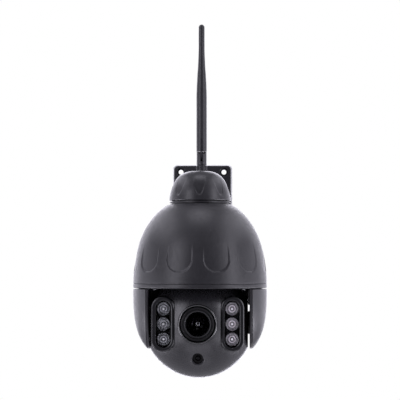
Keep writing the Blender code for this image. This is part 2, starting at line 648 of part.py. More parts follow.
def head_shell(name, low, turn, columns, holes):
    """One half of the ball. The columns are left standing inside it, and the holes are cut last."""
    shell = place(name, ball_cap(BALL_R, low), SHELL, tilt_axis, turn=turn)
    flat_sided(shell, BALL_SIDE, tilt_axis)
    core = helper(f"{name}_core", ball_cap(BALL_R - BALL_WALL, low - 4), tilt_axis, turn=turn)
    flat_sided(core, BALL_SIDE - BALL_WALL, tilt_axis)
    combine(core, helper(f"{name}_columns", gather(columns), tilt_axis), "DIFFERENCE")
    combine(shell, core, "DIFFERENCE")
    combine(shell, helper(f"{name}_holes", gather(holes), tilt_axis), "DIFFERENCE")


def head_front():
    sensor_at = (0, 0, -SENSOR_DROP)
    columns = [(rod(4, 0, 60, 10), spot, LOOK_FORWARD) for spot in HEAD_SCREWS_AT]
    columns.append((rod(6.6, 31.5, 60, 16), sensor_at, LOOK_FORWARD))
    well = [(0, 33.5), (SENSOR_WELL_R, 33.5), (SENSOR_WELL_R, 60), (0, 60)]
    holes = [(rod(1.7, 5, 26, 10), spot, LOOK_FORWARD) for spot in HEAD_SCREWS_AT]
    holes.append((lathe(well, 16), sensor_at, LOOK_FORWARD))
    holes.append((rod(BEZEL_R + GAP, 30, 60, 24), (0, 0, 0), LOOK_FORWARD))
    for x in (-POD_X, POD_X):
        holes.append((prism(stadium(POD_HALF_W + 0.5, POD_HALF_H + 0.5), 16, 60), (x, 0, 0), LOOK_FORWARD))
    head_shell("head_front", SPLIT + GAP, LOOK_FORWARD, columns, holes)


def head_rear():
    columns = [(rod(5.2, -40, 60, 10), spot, LOOK_BACK) for spot in HEAD_SCREWS_AT]
    bore = [(0, -30), (1.8, -30), (1.8, SCREW_SEAT), (3.6, SCREW_SEAT), (3.6, 60), (0, 60)]
    holes = [(lathe(bore, 10), spot, LOOK_BACK) for spot in HEAD_SCREWS_AT]
    holes += [(rod(8.3, 38, 50, 16), (0, 0, 0), (0, 90 * sign, 0)) for sign in (-1, 1)]
    head_shell("head_rear", -SPLIT, LOOK_BACK, columns, holes)


def head_screws():
    """Each one sits deep in its tunnel and pulls the front shell back onto the rear one."""
    for side, (x, _, z) in zip(("left", "right"), HEAD_SCREWS_AT):
        screw(f"head_screw_{side}", STEEL, tilt_axis, (x, SCREW_SEAT + GAP, z), LOOK_BACK, 3.0, 2.2, 1.5, 16)


def tilt_bushes():
    for side, sign in (("left", -1), ("right", 1)):
        profile = [(AXLE_R + GAP, 43), (9.6, 43), (9.6, 43.6), (8.0, 43.6), (8.0, 46.6), (AXLE_R + GAP, 46.6)]
        place(f"tilt_bush_{side}", lathe(profile, 16), ACETAL, tilt_axis, turn=(0, 90 * sign, 0))


def lens_front():
    bezel = [(BEZEL_R, 44), (BEZEL_R, 51.0), (BEZEL_R - 0.5, 51.6), (17.5, 51.6), (17.1, 51.0), (17.1, 44)]
    place("lens_bezel", lathe(bezel, 24), BLACK_GLOSS, tilt_axis, turn=LOOK_FORWARD)
    hood = [(HOOD_R, 44), (HOOD_R, 50.4), (15.0, 50.4), (14.6, 49.3), (13.6, 49.3)]
    hood += [(13.2, 48.3), (12.3, 48.3)]
    hood += [(11.9, 47.6), (11.9, 44)]
    place("lens_hood", lathe(hood, 20), FRAME_PLASTIC, tilt_axis, turn=LOOK_FORWARD)
    window = [(0, 45.2), (WINDOW_R, 45.2), (WINDOW_R, 46.6), (WINDOW_R - 0.4, 47), (0, 47)]
    place("lens_window", lathe(window, 24), GLASS, tilt_axis, turn=LOOK_FORWARD)


def dome_lens(radius, crown, low, flange=1.0, steps=4):
    """A plano-convex lens of a given edge radius, its flat side down."""
    curve_r = (radius**2 + crown**2) / (2 * crown)
    curve = []
    for i in range(steps + 1):
        r = radius * (1 - i / steps)
        curve.append((r, low + flange + sqrt(curve_r**2 - r**2) - (curve_r - crown)))
    return lathe([(0, low), (radius, low)] + curve, 20)


def lens_module():
    """The zoom lens: a stepped barrel, a fixed front lens, a sliding group, a filter and the image sensor."""
    barrel = [(13.2, 10), (13.2, 42.5), (10.6, 42.5), (10.6, 36), (9.8, 36), (9.8, 13), (5, 13), (5, 10)]
    place("lens_barrel", lathe(barrel, 20), FRAME_PLASTIC, tilt_axis, turn=LOOK_FORWARD)
    place("front_lens", dome_lens(10.2, 3.5, 36 + GAP), GLASS, tilt_axis, turn=LOOK_FORWARD)
    place("zoom_lens_group", dome_lens(9.4, 2, 20, 2.5, 3), GLASS, tilt_axis, turn=LOOK_FORWARD)
    place("infrared_filter", block((-4, -8.8, 0), (20, 1.0, 12)), GLASS, tilt_axis)
    board = place("sensor_board", block((0, -4.8, 0), (36, 1.6, 36)), BOARD, tilt_axis)
    parts = [((0, -6.4, 0), (9, 2.0, 9)), ((13, -3.0, -10), (6, 3, 10)), ((-12, -3.0, 10), (8, 3, 4))]
    add_blocks(board, tilt_axis, parts)


def led_pod(side, sign):
    """One pill-shaped infrared lamp: its frame, a clear pane, three lenses on a web, and the LED board."""
    at = (sign * WELL_X, 0, 0)
    rim = prism(stadium(POD_HALF_W, POD_HALF_H), 22, POD_FACE)
    frame = place(f"led_frame_{side}", rim, BLACK_GLOSS, tilt_axis)
    frame.location = Vector((sign * POD_X, 0, 0)) * MM
    frame.rotation_euler = [radians(a) for a in LOOK_FORWARD]
    bevel = frame.modifiers.new("edge", "BEVEL")
    bevel.width = 0.6 * MM
    bevel.segments = 1
    bevel.limit_method = "ANGLE"
    bevel.angle_limit = radians(60)
    inside = prism(stadium(WELL_HALF_W, WELL_HALF_H), 20, 50)
    well = helper(f"led_well_{side}", inside, tilt_axis, at, LOOK_FORWARD)
    combine(frame, well, "DIFFERENCE")
    pane = prism(stadium(WELL_HALF_W - GAP, WELL_HALF_H - GAP, 6), 43.2, 44.2)
    place(f"led_window_{side}", pane, CLEAR, tilt_axis, at, LOOK_FORWARD)
    web = prism(stadium(WELL_HALF_W - 0.6, WELL_HALF_H - 0.6, 6), 37.6, 38.6)
    lenses = place(f"led_lenses_{side}", web, CLEAR, tilt_axis, at, LOOK_FORWARD)
    board = prism(stadium(WELL_HALF_W - 0.6, WELL_HALF_H - 0.6, 6), 31, 32.6)
    leds = place(f"led_board_{side}", board, BOARD, tilt_axis, at, LOOK_FORWARD)
    for i in (-1, 0, 1):
        spot = (at[0], 0, i * LED_PITCH)
        cone = lathe([(0, 35.2), (3.0, 35.2), (LED_R, 41.4), (4.6, 41.4), (2.0, 39.6), (0, 39.6)], 12)
        combine(lenses, helper(f"led_cone_{side}", cone, tilt_axis, spot, LOOK_FORWARD), "UNION")
        lamp = lathe([(0, 32), (2.4, 32), (2.4, 33.6), (1.4, 34.7), (0, 34.7)], 8)
        combine(leds, helper(f"led_lamp_{side}", lamp, tilt_axis, spot, LOOK_FORWARD), "UNION")


def light_sensor():
    profile = [(0, 33.8), (2.6, 33.8), (2.6, 34.9), (1.6, 35.9), (0, 36.2)]
    place("light_sensor", lathe(profile, 16), GLASS, tilt_axis, (0, 0, -SENSOR_DROP), LOOK_FORWARD)


wall_plate()
bracket_arm()
arm_gasket()
bracket_screws()
cable_gland()
antenna()
upper_housing()
housing_ring()
housing_seal()
neck_tube()
chassis()
pan_drive()
main_board()
turntable()
turntable_screws()
for side, sign in (("left", -1), ("right", 1)):
    arm_frame(side, sign)
    arm_cover(side, sign)
    led_pod(side, sign)
tilt_axles()
tilt_drive()
head_front()
head_rear()
head_screws()
tilt_bushes()
lens_front()
lens_module()
light_sensor()
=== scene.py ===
"""Looks of the pan-and-tilt security camera: fine shells, lamps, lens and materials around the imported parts.

Sizes and places are in millimetres, which `piece` turns into metres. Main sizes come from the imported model.
"""
import json
from math import acos, asin, cos, degrees, pi, radians, sin, sqrt

import bmesh
import bpy
from mathutils import Euler, Matrix, Vector


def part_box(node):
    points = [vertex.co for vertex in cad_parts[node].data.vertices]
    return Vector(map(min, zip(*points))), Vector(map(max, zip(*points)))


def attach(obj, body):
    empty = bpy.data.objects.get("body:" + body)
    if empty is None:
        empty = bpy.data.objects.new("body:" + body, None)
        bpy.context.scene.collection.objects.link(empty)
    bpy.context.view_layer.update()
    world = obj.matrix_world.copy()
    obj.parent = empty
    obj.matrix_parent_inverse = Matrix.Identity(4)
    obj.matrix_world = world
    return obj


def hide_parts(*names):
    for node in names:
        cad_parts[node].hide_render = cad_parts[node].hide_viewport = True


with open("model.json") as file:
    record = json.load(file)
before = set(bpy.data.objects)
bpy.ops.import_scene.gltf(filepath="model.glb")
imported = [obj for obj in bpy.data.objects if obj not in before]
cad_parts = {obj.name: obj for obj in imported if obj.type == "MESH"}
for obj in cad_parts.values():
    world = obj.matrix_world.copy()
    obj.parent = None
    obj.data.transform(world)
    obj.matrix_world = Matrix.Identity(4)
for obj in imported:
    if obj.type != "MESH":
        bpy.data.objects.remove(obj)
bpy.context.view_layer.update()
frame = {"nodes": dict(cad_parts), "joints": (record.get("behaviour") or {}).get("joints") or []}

MM = 0.001
GAP = 0.3  # air between two pieces that touch

LOOK_FORWARD = (90, 0, 0)  # local +Z along -Y
LOOK_BACK = (-90, 0, 0)


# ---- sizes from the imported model
def box(node):
    """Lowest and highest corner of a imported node, in millimetres."""
    return [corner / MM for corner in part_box(node)]


def heights(node):
    return [corner.z for corner in box(node)]


JOINTS = {joint["name"]: joint for joint in frame["joints"]}
PAN = Vector(JOINTS["pan"]["pos_m"]) / MM
TILT = Vector(JOINTS["tilt"]["pos_m"]) / MM
HINGE = Vector(JOINTS["antenna_tilt"]["pos_m"]) / MM
MAST = Vector((HINGE.x, HINGE.y, 0))
CAP_AT = Vector((PAN.x, PAN.y, 0))
TILT_DROP = PAN.z - TILT.z

EGG_R = box("housing_ring")[1].x
SEAM_RISE = 0.9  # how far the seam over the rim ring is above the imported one
HOUSING_LOW, LIP_TOP = [height - PAN.z for height in heights("upper_housing")]
HOUSING_LOW += SEAM_RISE
HOUSING_TOP = LIP_TOP - 0.7
PLATE_LOW, PLATE_HIGH = box("wall_plate")
PLATE_T = -PLATE_LOW.y
REACH = -PAN.y
BALL_R = TILT.z - heights("head_rear")[0]
BALL_SIDE = box("head_front")[1].x - TILT.x
BALL_SIDES = {"left": BALL_SIDE, "right": BALL_SIDE + 0.9}  # how far out the ball's flat sides are

# Egg-shaped outline: one superellipse above the rim and one below it
EGG_TOP, EGG_TOP_POWER = 87.9, 2.32
EGG_LOW, EGG_LOW_POWER = 72.3, 3
WALL = 2.6
LIP_R, LIP_BORE = 29.3, 19


def superellipse(t, power):
    return (1 - min(t, 1) ** power) ** (1 / power)


def egg(height):
    """Outer radius of the whole camera at a height above or below the rim."""
    if height >= 0:
        return EGG_R * superellipse(height / EGG_TOP, EGG_TOP_POWER)
    return EGG_R * superellipse(-height / EGG_LOW, EGG_LOW_POWER)


def smoothstep(low, high, value):
    t = max(0, min(1, (value - low) / (high - low)))
    return t * t * (3 - 2 * t)


# ---- mesh helpers
def arc(centre, radius, start, end, steps):
    angles = [radians(start + (end - start) * i / steps) for i in range(steps + 1)]
    return [(centre[0] + radius * cos(a), centre[1] + radius * sin(a)) for a in angles]


LEAST_TURN = 20  # degrees; a corner that turns by less is left as it is
SMOOTH_ANGLE = 32  # degrees; an edge that turns by more is shaded sharp


def soften(points, radius, steps=3, closed=False):
    """Rounds the corners of a line of (x, y) points."""
    count = len(points)
    made = []
    for i, here in enumerate(points):
        if not closed and i in (0, count - 1):
            made.append(here)
            continue
        here = Vector(here)
        before, after = Vector(points[i - 1]) - here, Vector(points[(i + 1) % count]) - here
        if 180 - degrees(before.angle(after)) < LEAST_TURN:
            made.append(tuple(here))
            continue
        reach = min(radius, 0.45 * before.length, 0.45 * after.length)
        start, end = here + before.normalized() * reach, here + after.normalized() * reach
        for step in range(steps + 1):
            t = step / steps
            made.append(tuple(start * (1 - t) ** 2 + here * 2 * t * (1 - t) + end * t * t))
    return made


def skin(rings, closed=False):
    """A bmesh with faces between neighbouring rings of points. A ring of one point is a tip."""
    bm = bmesh.new()
    rows = [[bm.verts.new(point) for point in ring] for ring in rings]
    pairs = list(zip(rows, rows[1:]))
    if closed:
        pairs.append((rows[-1], rows[0]))
    for low, high in pairs:
        segments = max(len(low), len(high))
        for i in range(segments):
            j = (i + 1) % segments
            corners = [low[i % len(low)], low[j % len(low)], high[j % len(high)], high[i % len(high)]]
            distinct = list(dict.fromkeys(corners))
            if len(distinct) > 2:
                bm.faces.new(distinct)
    if not closed:
        for row in (rows[0], rows[-1]):
            if len(row) > 2:
                bm.faces.new(row)
    return bm


def lathe(profile, segments=96, relief=None):
    """A profile of (radius, height) points turned about Z. `relief` gives how far a point is set in."""
    rings = []
    for radius, height in profile:
        if radius < 1e-6:
            rings.append([(0, 0, height)])
            continue
        ring = []
        for i in range(segments):
            angle = 2 * pi * i / segments
            out = radius - (relief(radius, height, angle) if relief else 0)
            ring.append((out * cos(angle), out * sin(angle), height))
        rings.append(ring)
    return skin(rings, closed=len(rings[0]) > 1 or len(rings[-1]) > 1)


def turned_ring(profile, segments, rounding, steps=3):
    """A closed profile with rounded corners, turned about Z."""
    return lathe(soften(profile, rounding, steps, closed=True), segments)


def stadium(half_w, half_h, steps):
    """A slot shape with round ends, taller than it is wide."""
    rise = half_h - half_w
    return arc((0, rise), half_w, 0, 180, steps) + arc((0, -rise), half_w, 180, 360, steps)


def rounded_rectangle(half_w, half_h, corner):
    points = []
    for sx, sy, start in ((1, 1, 0), (-1, 1, 90), (-1, -1, 180), (1, -1, 270)):
        centre = (sx * (half_w - corner), sy * (half_h - corner))
        points += arc(centre, corner, start, start + 90, 10)
    return points


def outline_solid(outline, profile):
    """Stacks copies of an outline: each (inset, height) of the profile makes one ring of `outline(inset)`."""
    return skin([[(x, y, height) for x, y in outline(inset)] for inset, height in profile])


def pill(half_w, half_h, profile, steps=28):
    """A stadium-shaped solid whose wall follows the (inset, height) points of the profile."""
    return outline_solid(lambda inset: stadium(half_w - inset, half_h - inset, steps), profile)


def shrunk(points, inset):
    """A closed anticlockwise outline moved inwards along its own corners' bisectors."""
    made = []
    count = len(points)
    for i, here in enumerate(points):
        a, b = Vector(here) - Vector(points[i - 1]), Vector(points[(i + 1) % count]) - Vector(here)
        a, b = a.normalized(), b.normalized()
        normal = Vector((-(a.y + b.y), a.x + b.x)).normalized()
        stretch = max(0.5, normal.dot(Vector((-a.y, a.x))))
        made.append(tuple(Vector(here) + normal * (inset / stretch)))
    return made


def block(centre, size):
    bm = bmesh.new()
    bmesh.ops.create_cube(bm, size=1, matrix=Matrix.Translation(centre) @ Matrix.Diagonal((*size, 1)))
    return bm


def rod(radius, low, high, segments=48, rounding=0):
    profile = [(0, low), (radius, low), (radius, high), (0, high)]
    return lathe(soften(profile, rounding) if rounding else profile, segments)


def moved(bm, at=(0, 0, 0), turn=(0, 0, 0)):
    bm.transform(Matrix.Translation(at) @ Euler([radians(a) for a in turn]).to_matrix().to_4x4())
    return bm


def gather(shapes):
    """Puts bmeshes into one."""
    whole = bmesh.new()
    for bm in shapes:
        part = bpy.data.meshes.new("shape")
        bm.to_mesh(part)
        bm.free()
        whole.from_mesh(part)
        bpy.data.meshes.remove(part)
    return whole


def new_object(name, data):
    obj = bpy.data.objects.new(name, data)
    bpy.context.scene.collection.objects.link(obj)
    return obj


def mesh_object(name, bm):
    bmesh.ops.recalc_face_normals(bm, faces=bm.faces)
    mesh = bpy.data.meshes.new(name)
    bm.to_mesh(mesh)
    bm.free()
    return new_object(name, mesh)


def carve(bm, *steps):
    """Runs Booleans on a bmesh. Each step is an operation's name and the bmeshes that it uses at once."""
    target = mesh_object("carved", bm)
    for operation, *tools in steps:
        tool = mesh_object("tool", gather(tools))
        modifier = target.modifiers.new("carve", "BOOLEAN")
        modifier.operation = operation
        modifier.object = tool
        modifier.solver = "EXACT"
        graph = bpy.context.evaluated_depsgraph_get()
        result = bpy.data.meshes.new_from_object(target.evaluated_get(graph))
        target.modifiers.clear()
        target.data = result
        bpy.data.objects.remove(tool)
    made = bmesh.new()
    made.from_mesh(target.data)
    bpy.data.objects.remove(target)
    bmesh.ops.dissolve_degenerate(made, dist=1e-4, edges=made.edges)
    return made


def piece(name, bm, body, slot, *nodes, at=(0, 0, 0), turn=(0, 0, 0), look=None):
    """Makes one piece in the row frame, on its body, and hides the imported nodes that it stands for."""
    moved(bm, at, turn)
    bmesh.ops.scale(bm, vec=(MM, MM, MM), verts=bm.verts)
    obj = mesh_object(name, bm)
    obj.data.shade_smooth()
    obj.data.set_sharp_from_angle(angle=radians(SMOOTH_ANGLE))
    obj.data.materials.append(look or SLOT_LOOKS[slot])
    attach(obj, body)
    if nodes:
        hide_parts(*nodes)


# ---- materials
class Look:
    """A Principled material and short ways to add nodes to it. Object coordinates are in metres."""

    def __init__(self, name, colour, roughness, metallic=0, **sockets):
        self.material = bpy.data.materials.new(name)
        self.material.use_nodes = True
        self.tree = self.material.node_tree
        self.shader = self.tree.nodes["Principled BSDF"]
        self.shader.inputs["Base Color"].default_value = (*colour, 1)
        self.shader.inputs["Roughness"].default_value = roughness
        self.shader.inputs["Metallic"].default_value = metallic
        for socket, value in sockets.items():
            self.shader.inputs[socket.replace("_", " ")].default_value = value
        self.where = self.add("TexCoord").outputs["Object"]

    def add(self, kind, inputs=(), **settings):
        node = self.tree.nodes.new("ShaderNode" + kind)
        for key, value in settings.items():
            setattr(node, key, value)
        for socket, value in dict(inputs).items():
            node.inputs[socket].default_value = value
        return node

    def join(self, output, socket):
        self.tree.links.new(output, socket)

    def noise(self, scale, detail=3, stretch=None, rough=0.5):
        """Noise from 0 to 1. `scale` is the number of features in a metre."""
        node = self.add("TexNoise", {"Scale": scale, "Detail": detail, "Roughness": rough})
        where = self.where
        if stretch:
            mapping = self.add("Mapping", {"Scale": stretch})
            self.join(self.where, mapping.inputs["Vector"])
            where = mapping.outputs["Vector"]
        self.join(where, node.inputs["Vector"])
        return node.outputs["Fac"]

    def spread(self, value, low, high, start=0, end=1):
        """Maps a value that runs from start to end onto low to high."""
        node = self.add("MapRange", {"From Min": start, "From Max": end, "To Min": low, "To Max": high})
        self.join(value, node.inputs["Value"])
        return node.outputs["Result"]

    def math(self, operation, a, b):
        node = self.add("Math", operation=operation)
        for socket, value in zip(node.inputs, (a, b)):
            if isinstance(value, (int, float)):
                socket.default_value = value
            else:
                self.join(value, socket)
        return node.outputs["Value"]

    def mix(self, amount, first, second):
        """A colour between two colours, each given as three numbers or as another node's output."""
        node = self.add("Mix", data_type="RGBA")
        self.join(amount, node.inputs["Factor"])
        for socket, colour in zip((node.inputs[6], node.inputs[7]), (first, second)):
            if isinstance(colour, tuple):
                socket.default_value = (*colour, 1)
            else:
                self.join(colour, socket)
        return node.outputs[2]

    def edges(self):
        """1 on the piece's outer edges, broken up in patches. Where it pales a colour, that is partly wear and
        partly a painted highlight.
        """
        point = self.add("NewGeometry").outputs["Pointiness"]
        wear = self.spread(point, 0, 1, 0.53, 0.60)
        return self.math("MULTIPLY", wear, self.spread(self.noise(260, 4), 0.3, 1, 0.35, 0.65))

    def bump(self, height, depth_mm):
        node = self.add("Bump", {"Distance": depth_mm * MM, "Strength": 1})
        self.join(height, node.inputs["Height"])
        self.join(node.outputs["Normal"], self.shader.inputs["Normal"])

    def use(self, socket, output):
        self.join(output, self.shader.inputs[socket])

    def colour(self, amount, first, second):
        self.use("Base Color", self.mix(amount, first, second))


def scaled(colour, factor):
    return tuple(channel * factor for channel in colour)


def moulded_plastic(name, colour, roughness, grain=0.02, edge=2, **sockets):
    """Moulded plastic: uneven tone, a fine eroded grain, and slightly polished edges, paled partly by wear and
    partly by a painted highlight.
    """
    look = Look(name, colour, roughness, **sockets)
    patches = look.spread(look.noise(45, 4), 0, 1, 0.3, 0.7)
    tone = look.mix(patches, scaled(colour, 0.88), scaled(colour, 1.12))
    speckle = look.spread(look.noise(1500, 2), 0, 1, 0.42, 0.72)
    tone = look.mix(look.math("MULTIPLY", speckle, 0.35), tone, scaled(colour, 1.5))
    edges = look.edges()
    # Paler edges: partly wear, partly a painted highlight.
    look.colour(edges, tone, scaled(colour, edge))
    uneven = look.spread(look.noise(320, 4), roughness - 0.05, roughness + 0.06, 0.3, 0.7)
    look.use("Roughness", look.math("SUBTRACT", uneven, look.math("MULTIPLY", edges, 0.12)))
    grainy = look.math("ADD", look.noise(1900, 3, rough=0.65), look.math("MULTIPLY", look.noise(620, 2), 0.8))
    look.bump(grainy, grain)
    return look.material


def gloss_plastic(name, colour, roughness, **sockets):
    """Polished plastic with faint handling haze and hairline scratches; its edges are paled by a painted
    highlight and by wear.
    """
    look = Look(name, colour, roughness, **sockets)
    # Paler edges: a painted highlight, partly wear.
    look.colour(look.edges(), colour, scaled(colour, 2.2))
    haze = look.spread(look.noise(70, 5), roughness, roughness + 0.12, 0.35, 0.75)
    scratches = look.spread(look.noise(500, 2, stretch=(1, 1, 0.06)), 0, 0.08, 0.62, 0.72)
    look.use("Roughness", look.math("ADD", haze, scratches))
    look.bump(look.noise(900, 2), 0.004)
    return look.material


def metal(name, colour, roughness, stretch=(1, 1, 12), stain=0.75):
    """Brushed or turned metal with a little staining."""
    look = Look(name, colour, roughness, metallic=1)
    clean = look.spread(look.noise(120, 4), 0, 1, 0.35, 0.75)
    look.colour(clean, scaled(colour, stain), colour)
    brushed = look.noise(900, 3, stretch=stretch)
    look.use("Roughness", look.spread(brushed, roughness - 0.08, roughness + 0.16, 0.3, 0.7))
    look.bump(brushed, 0.01)
    return look.material


def rubber(name, colour):
    look = Look(name, colour, 0.8)
    dust = look.spread(look.noise(150, 4), 0, 1, 0.35, 0.7)
    look.colour(dust, colour, scaled(colour, 2.2))
    look.use("Roughness", look.spread(look.noise(700, 3), 0.68, 0.9, 0.3, 0.7))
    look.bump(look.noise(1600, 4), 0.03)
    return look.material


def circuit_board(name):
    """Green solder mask with paler copper tracks under it and a fine pattern of parts."""
    mask, track = (0.012, 0.09, 0.035), (0.03, 0.19, 0.075)
    look = Look(name, mask, 0.35)
    tracks = look.add("TexBrick", {"Scale": 260, "Mortar Size": 0.09}, offset=0.5)
    look.join(look.where, tracks.inputs["Vector"])
    lines = look.math("MULTIPLY", tracks.outputs["Fac"], look.spread(look.noise(90, 1), 0, 1, 0.45, 0.55))
    look.colour(lines, mask, track)
    look.use("Roughness", look.spread(look.noise(260, 3), 0.28, 0.5, 0.3, 0.7))
    look.bump(lines, 0.03)
    return look.material


def dark_glass(name, colour, coating, specular):
    """Coated glass seen against a dark inside, with a faint coloured coating sheen painted into its colour
    towards glancing angles, and a trace of dust.
    """
    look = Look(name, colour, 0.03, Specular_IOR_Level=specular)
    # Painted reflection: where the glass is seen edge-on, its colour turns to the coating's patchy tint.
    rim = look.add("LayerWeight", {"Blend": 0.35})
    painted_coating_sheen = look.mix(look.spread(look.noise(60, 2), 0, 1, 0.35, 0.65), colour, coating)
    look.colour(look.spread(rim.outputs["Facing"], 0, 0.6), colour, painted_coating_sheen)
    look.use("Roughness", look.spread(look.noise(1500, 3), 0.02, 0.14, 0.55, 0.8))
    return look.material


def clear_plastic(name, ior):
    """Clear plastic or glass, slightly hazed by handling."""
    roughness = 0.01
    look = Look(name, (0.95, 0.96, 0.98), roughness, Transmission_Weight=1, IOR=ior)
    look.use("Roughness", look.spread(look.noise(600, 3), roughness, roughness + 0.05, 0.5, 0.8))
    look.bump(look.noise(300, 2), 0.002)
    return look.material


def lamp_plastic(name, colour):
    """Frosted plastic under a thin gloss, for the moulding round each infrared LED."""
    look = Look(name, colour, 0.3, Coat_Weight=0.4, Coat_Roughness=0.1)
    frost = look.spread(look.noise(900, 3), 0, 1, 0.35, 0.7)
    look.colour(frost, scaled(colour, 0.6), scaled(colour, 1.5))
    look.use("Roughness", look.spread(look.noise(1300, 2), 0.2, 0.45, 0.3, 0.7))
    look.bump(look.noise(1500, 2), 0.03)
    return look.material


CHARCOAL = (0.018, 0.0175, 0.0205)
SLOT_LOOKS = {
    "shell_plastic": moulded_plastic("shell_charcoal", CHARCOAL, 0.37),
    "bracket_plastic": moulded_plastic("bracket_charcoal", CHARCOAL, 0.33),
    "antenna_plastic": moulded_plastic("antenna_charcoal", CHARCOAL, 0.37, grain=0.01),
    "frame_plastic": moulded_plastic("inner_black", (0.016, 0.016, 0.018), 0.5),
    "black_gloss": gloss_plastic("gloss_black", (0.008, 0.008, 0.01), 0.16, Specular_IOR_Level=0.9, IOR=1.75),
    "rubber": rubber("black_rubber", (0.018, 0.018, 0.018)),
    "steel": metal("brushed_steel", (0.8, 0.8, 0.82), 0.26),
    "brass": metal("gold_plated_brass", (0.78, 0.58, 0.27), 0.25),
    "acetal": moulded_plastic("white_acetal", (0.7, 0.69, 0.65), 0.45, edge=1.05),
    "circuit_board": circuit_board("green_board"),
    "zinc_plate": metal("zinc_plate", (0.5, 0.51, 0.53), 0.4, stretch=(1, 1, 1), stain=0.85),
    "optical_glass": dark_glass("coated_lens", (0.001, 0.0008, 0.0015), (0.004, 0.002, 0.009), 0.03),
    "clear_plastic": clear_plastic("clear_pane", 1.15),
}
# Near-black with little reflection: the lens barrel's own colour, and painted shade on the turntable's wall
# and the lamps' webs.
MATT_BLACK_AND_SHADE = moulded_plastic("matt_black", (0.0025, 0.0025, 0.003), 0.6, grain=0.01, Specular_IOR_Level=0.1)
SLOT_LOOKS["matt_black"] = MATT_BLACK_AND_SHADE
HEAD = moulded_plastic("head_charcoal", CHARCOAL, 0.28, grain=0.006, Specular_IOR_Level=0.7)
ARM_PLATE = moulded_plastic("arm_charcoal", scaled(CHARCOAL, 1.1), 0.36)
FRAME = gloss_plastic("lamp_frame_black", (0.006, 0.006, 0.008), 0.2, Specular_IOR_Level=0.7)
HOOD = moulded_plastic("hood_black", (0.004, 0.004, 0.005), 0.45, grain=0.008, Specular_IOR_Level=0.35)
RETAINER = moulded_plastic("retainer_black", (0.014, 0.014, 0.016), 0.4, grain=0.008)
WINDOW = clear_plastic("window_glass", 1.08)
INNER_LENS = dark_glass("inner_lens", (0.002, 0.0015, 0.003), (0.01, 0.006, 0.02), 1)
EYE = dark_glass("sensor_glass", (0.004, 0.003, 0.006), (0.02, 0.012, 0.045), 0.6)
# The right lamp's copies are paler and brighter than the left's: painted light, for the brighter reflections
# on that side.
FROST, RING_METAL, DIE = {}, {}, {}
for side, frost, ring, ring_roughness, die, die_edge in (
        ("left", (0.1, 0.1, 0.105), (0.55, 0.54, 0.57), 0.3, (0.75, 0.73, 0.72), 1.1),
        ("right", (0.19, 0.175, 0.185), (0.95, 0.88, 0.92), 0.45, (1, 0.95, 0.97), 1)):
    FROST[side] = lamp_plastic(f"lamp_frost_{side}", frost)
    RING_METAL[side] = metal(f"lamp_ring_{side}", ring, ring_roughness, stretch=(1, 1, 1))
    DIE[side] = moulded_plastic(f"lamp_die_{side}", die, 0.3, grain=0.01, edge=die_edge)

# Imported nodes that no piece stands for, by the look that they get
NODE_SLOTS = {
    "rubber": ("housing_seal",),
    "frame_plastic": ("neck_nut",),
    "matt_black": ("lens_barrel",),
    "steel": ("antenna_pin", "bracket_screw_1", "bracket_screw_2", "pan_bearing_outer", "pan_bearing_inner")
    + ("tilt_axle_left", "tilt_axle_right"),
    "brass": ("antenna_jack", "pan_pinion", "tilt_pinion"),
    "acetal": ("pan_gear", "tilt_gear", "tilt_bush_left", "tilt_bush_right"),
    "circuit_board": ("main_board", "sensor_board"),
    "zinc_plate": ("chassis_plate", "pan_motor", "tilt_motor"),
    "optical_glass": ("zoom_lens_group", "infrared_filter"),
}
for slot, names in NODE_SLOTS.items():
    for name in names:
        materials = frame["nodes"][name].data.materials
        for i in range(len(materials)):
            materials[i] = SLOT_LOOKS[slot]


# ---- recessed petals
def petal_relief(centres, half_angle, bottom, fade_end, depth, round_h, edge, taper=0):
    """How far the surface is set in by U-shaped petals that are deepest at the bottom and fade out upwards.

    `taper` is the share by which a petal is narrower at its bottom than at its top.
    """
    def relief(radius, height, angle):
        if height < bottom - 1 or height > fade_end:
            return 0
        half = half_angle * (1 - taper * (1 - smoothstep(bottom, fade_end, height)))
        best = 0
        for centre in centres:
            off = (angle - centre + pi) % (2 * pi) - pi
            if abs(off) > half_angle * 1.3:
                continue
            drop = max(0, bottom + round_h - height) / round_h
            across = off / half
            inside = (1 - sqrt(across * across + drop * drop)) * half * radius
            best = max(best, smoothstep(0, edge, inside))
        return depth * best * (1 - smoothstep(bottom + round_h * 0.4, fade_end, height))
    return relief


FRONT = -pi / 2
DOME_PETALS = [FRONT + 2 * pi / 11 * (i + 0.5) - radians(0.5) for i in range(11)]
CAP_PETALS = [FRONT + 2 * pi / 8 * i for i in range(8)]


# ---- wall bracket
WALL_HOLE_X, WALL_HOLE_Z = 22.1, 32.6
ARM_SCREW_Z = 14


def mounting_plate():
    half_w, half_h = PLATE_HIGH.x, PLATE_HIGH.z
    profile = soften([(6, 0), (0, 0), (1.5, PLATE_T), (6, PLATE_T)], 0.9, 4)
    bm = outline_solid(lambda inset: rounded_rectangle(half_w - inset, half_h - inset, 4), profile)
    wall_bore = [(0, -1), (2.9, -1), (2.5, 0.4), (2.5, PLATE_T - 2.5), (4.1, PLATE_T - 2.5)]
    wall_bore += [(4.1, PLATE_T - 0.4), (4.9, PLATE_T + 0.4), (0, PLATE_T + 0.4)]
    arm_bore = [(0, -1), (4.2, -1), (4.2, 4.5), (2.1, 4.5), (2.1, PLATE_T + 1), (0, PLATE_T + 1)]
    holes = [moved(lathe(wall_bore, 48), (x, z, 0)) for x in (-WALL_HOLE_X, WALL_HOLE_X)
             for z in (-WALL_HOLE_Z, WALL_HOLE_Z)]
    holes += [moved(lathe(arm_bore, 32), (0, z, 0)) for z in (-ARM_SCREW_Z, ARM_SCREW_Z)]
    bm = carve(bm, ("DIFFERENCE", *holes))
    piece("mounting_plate", bm, "bracket", "bracket_plastic", "wall_plate", turn=LOOK_FORWARD)


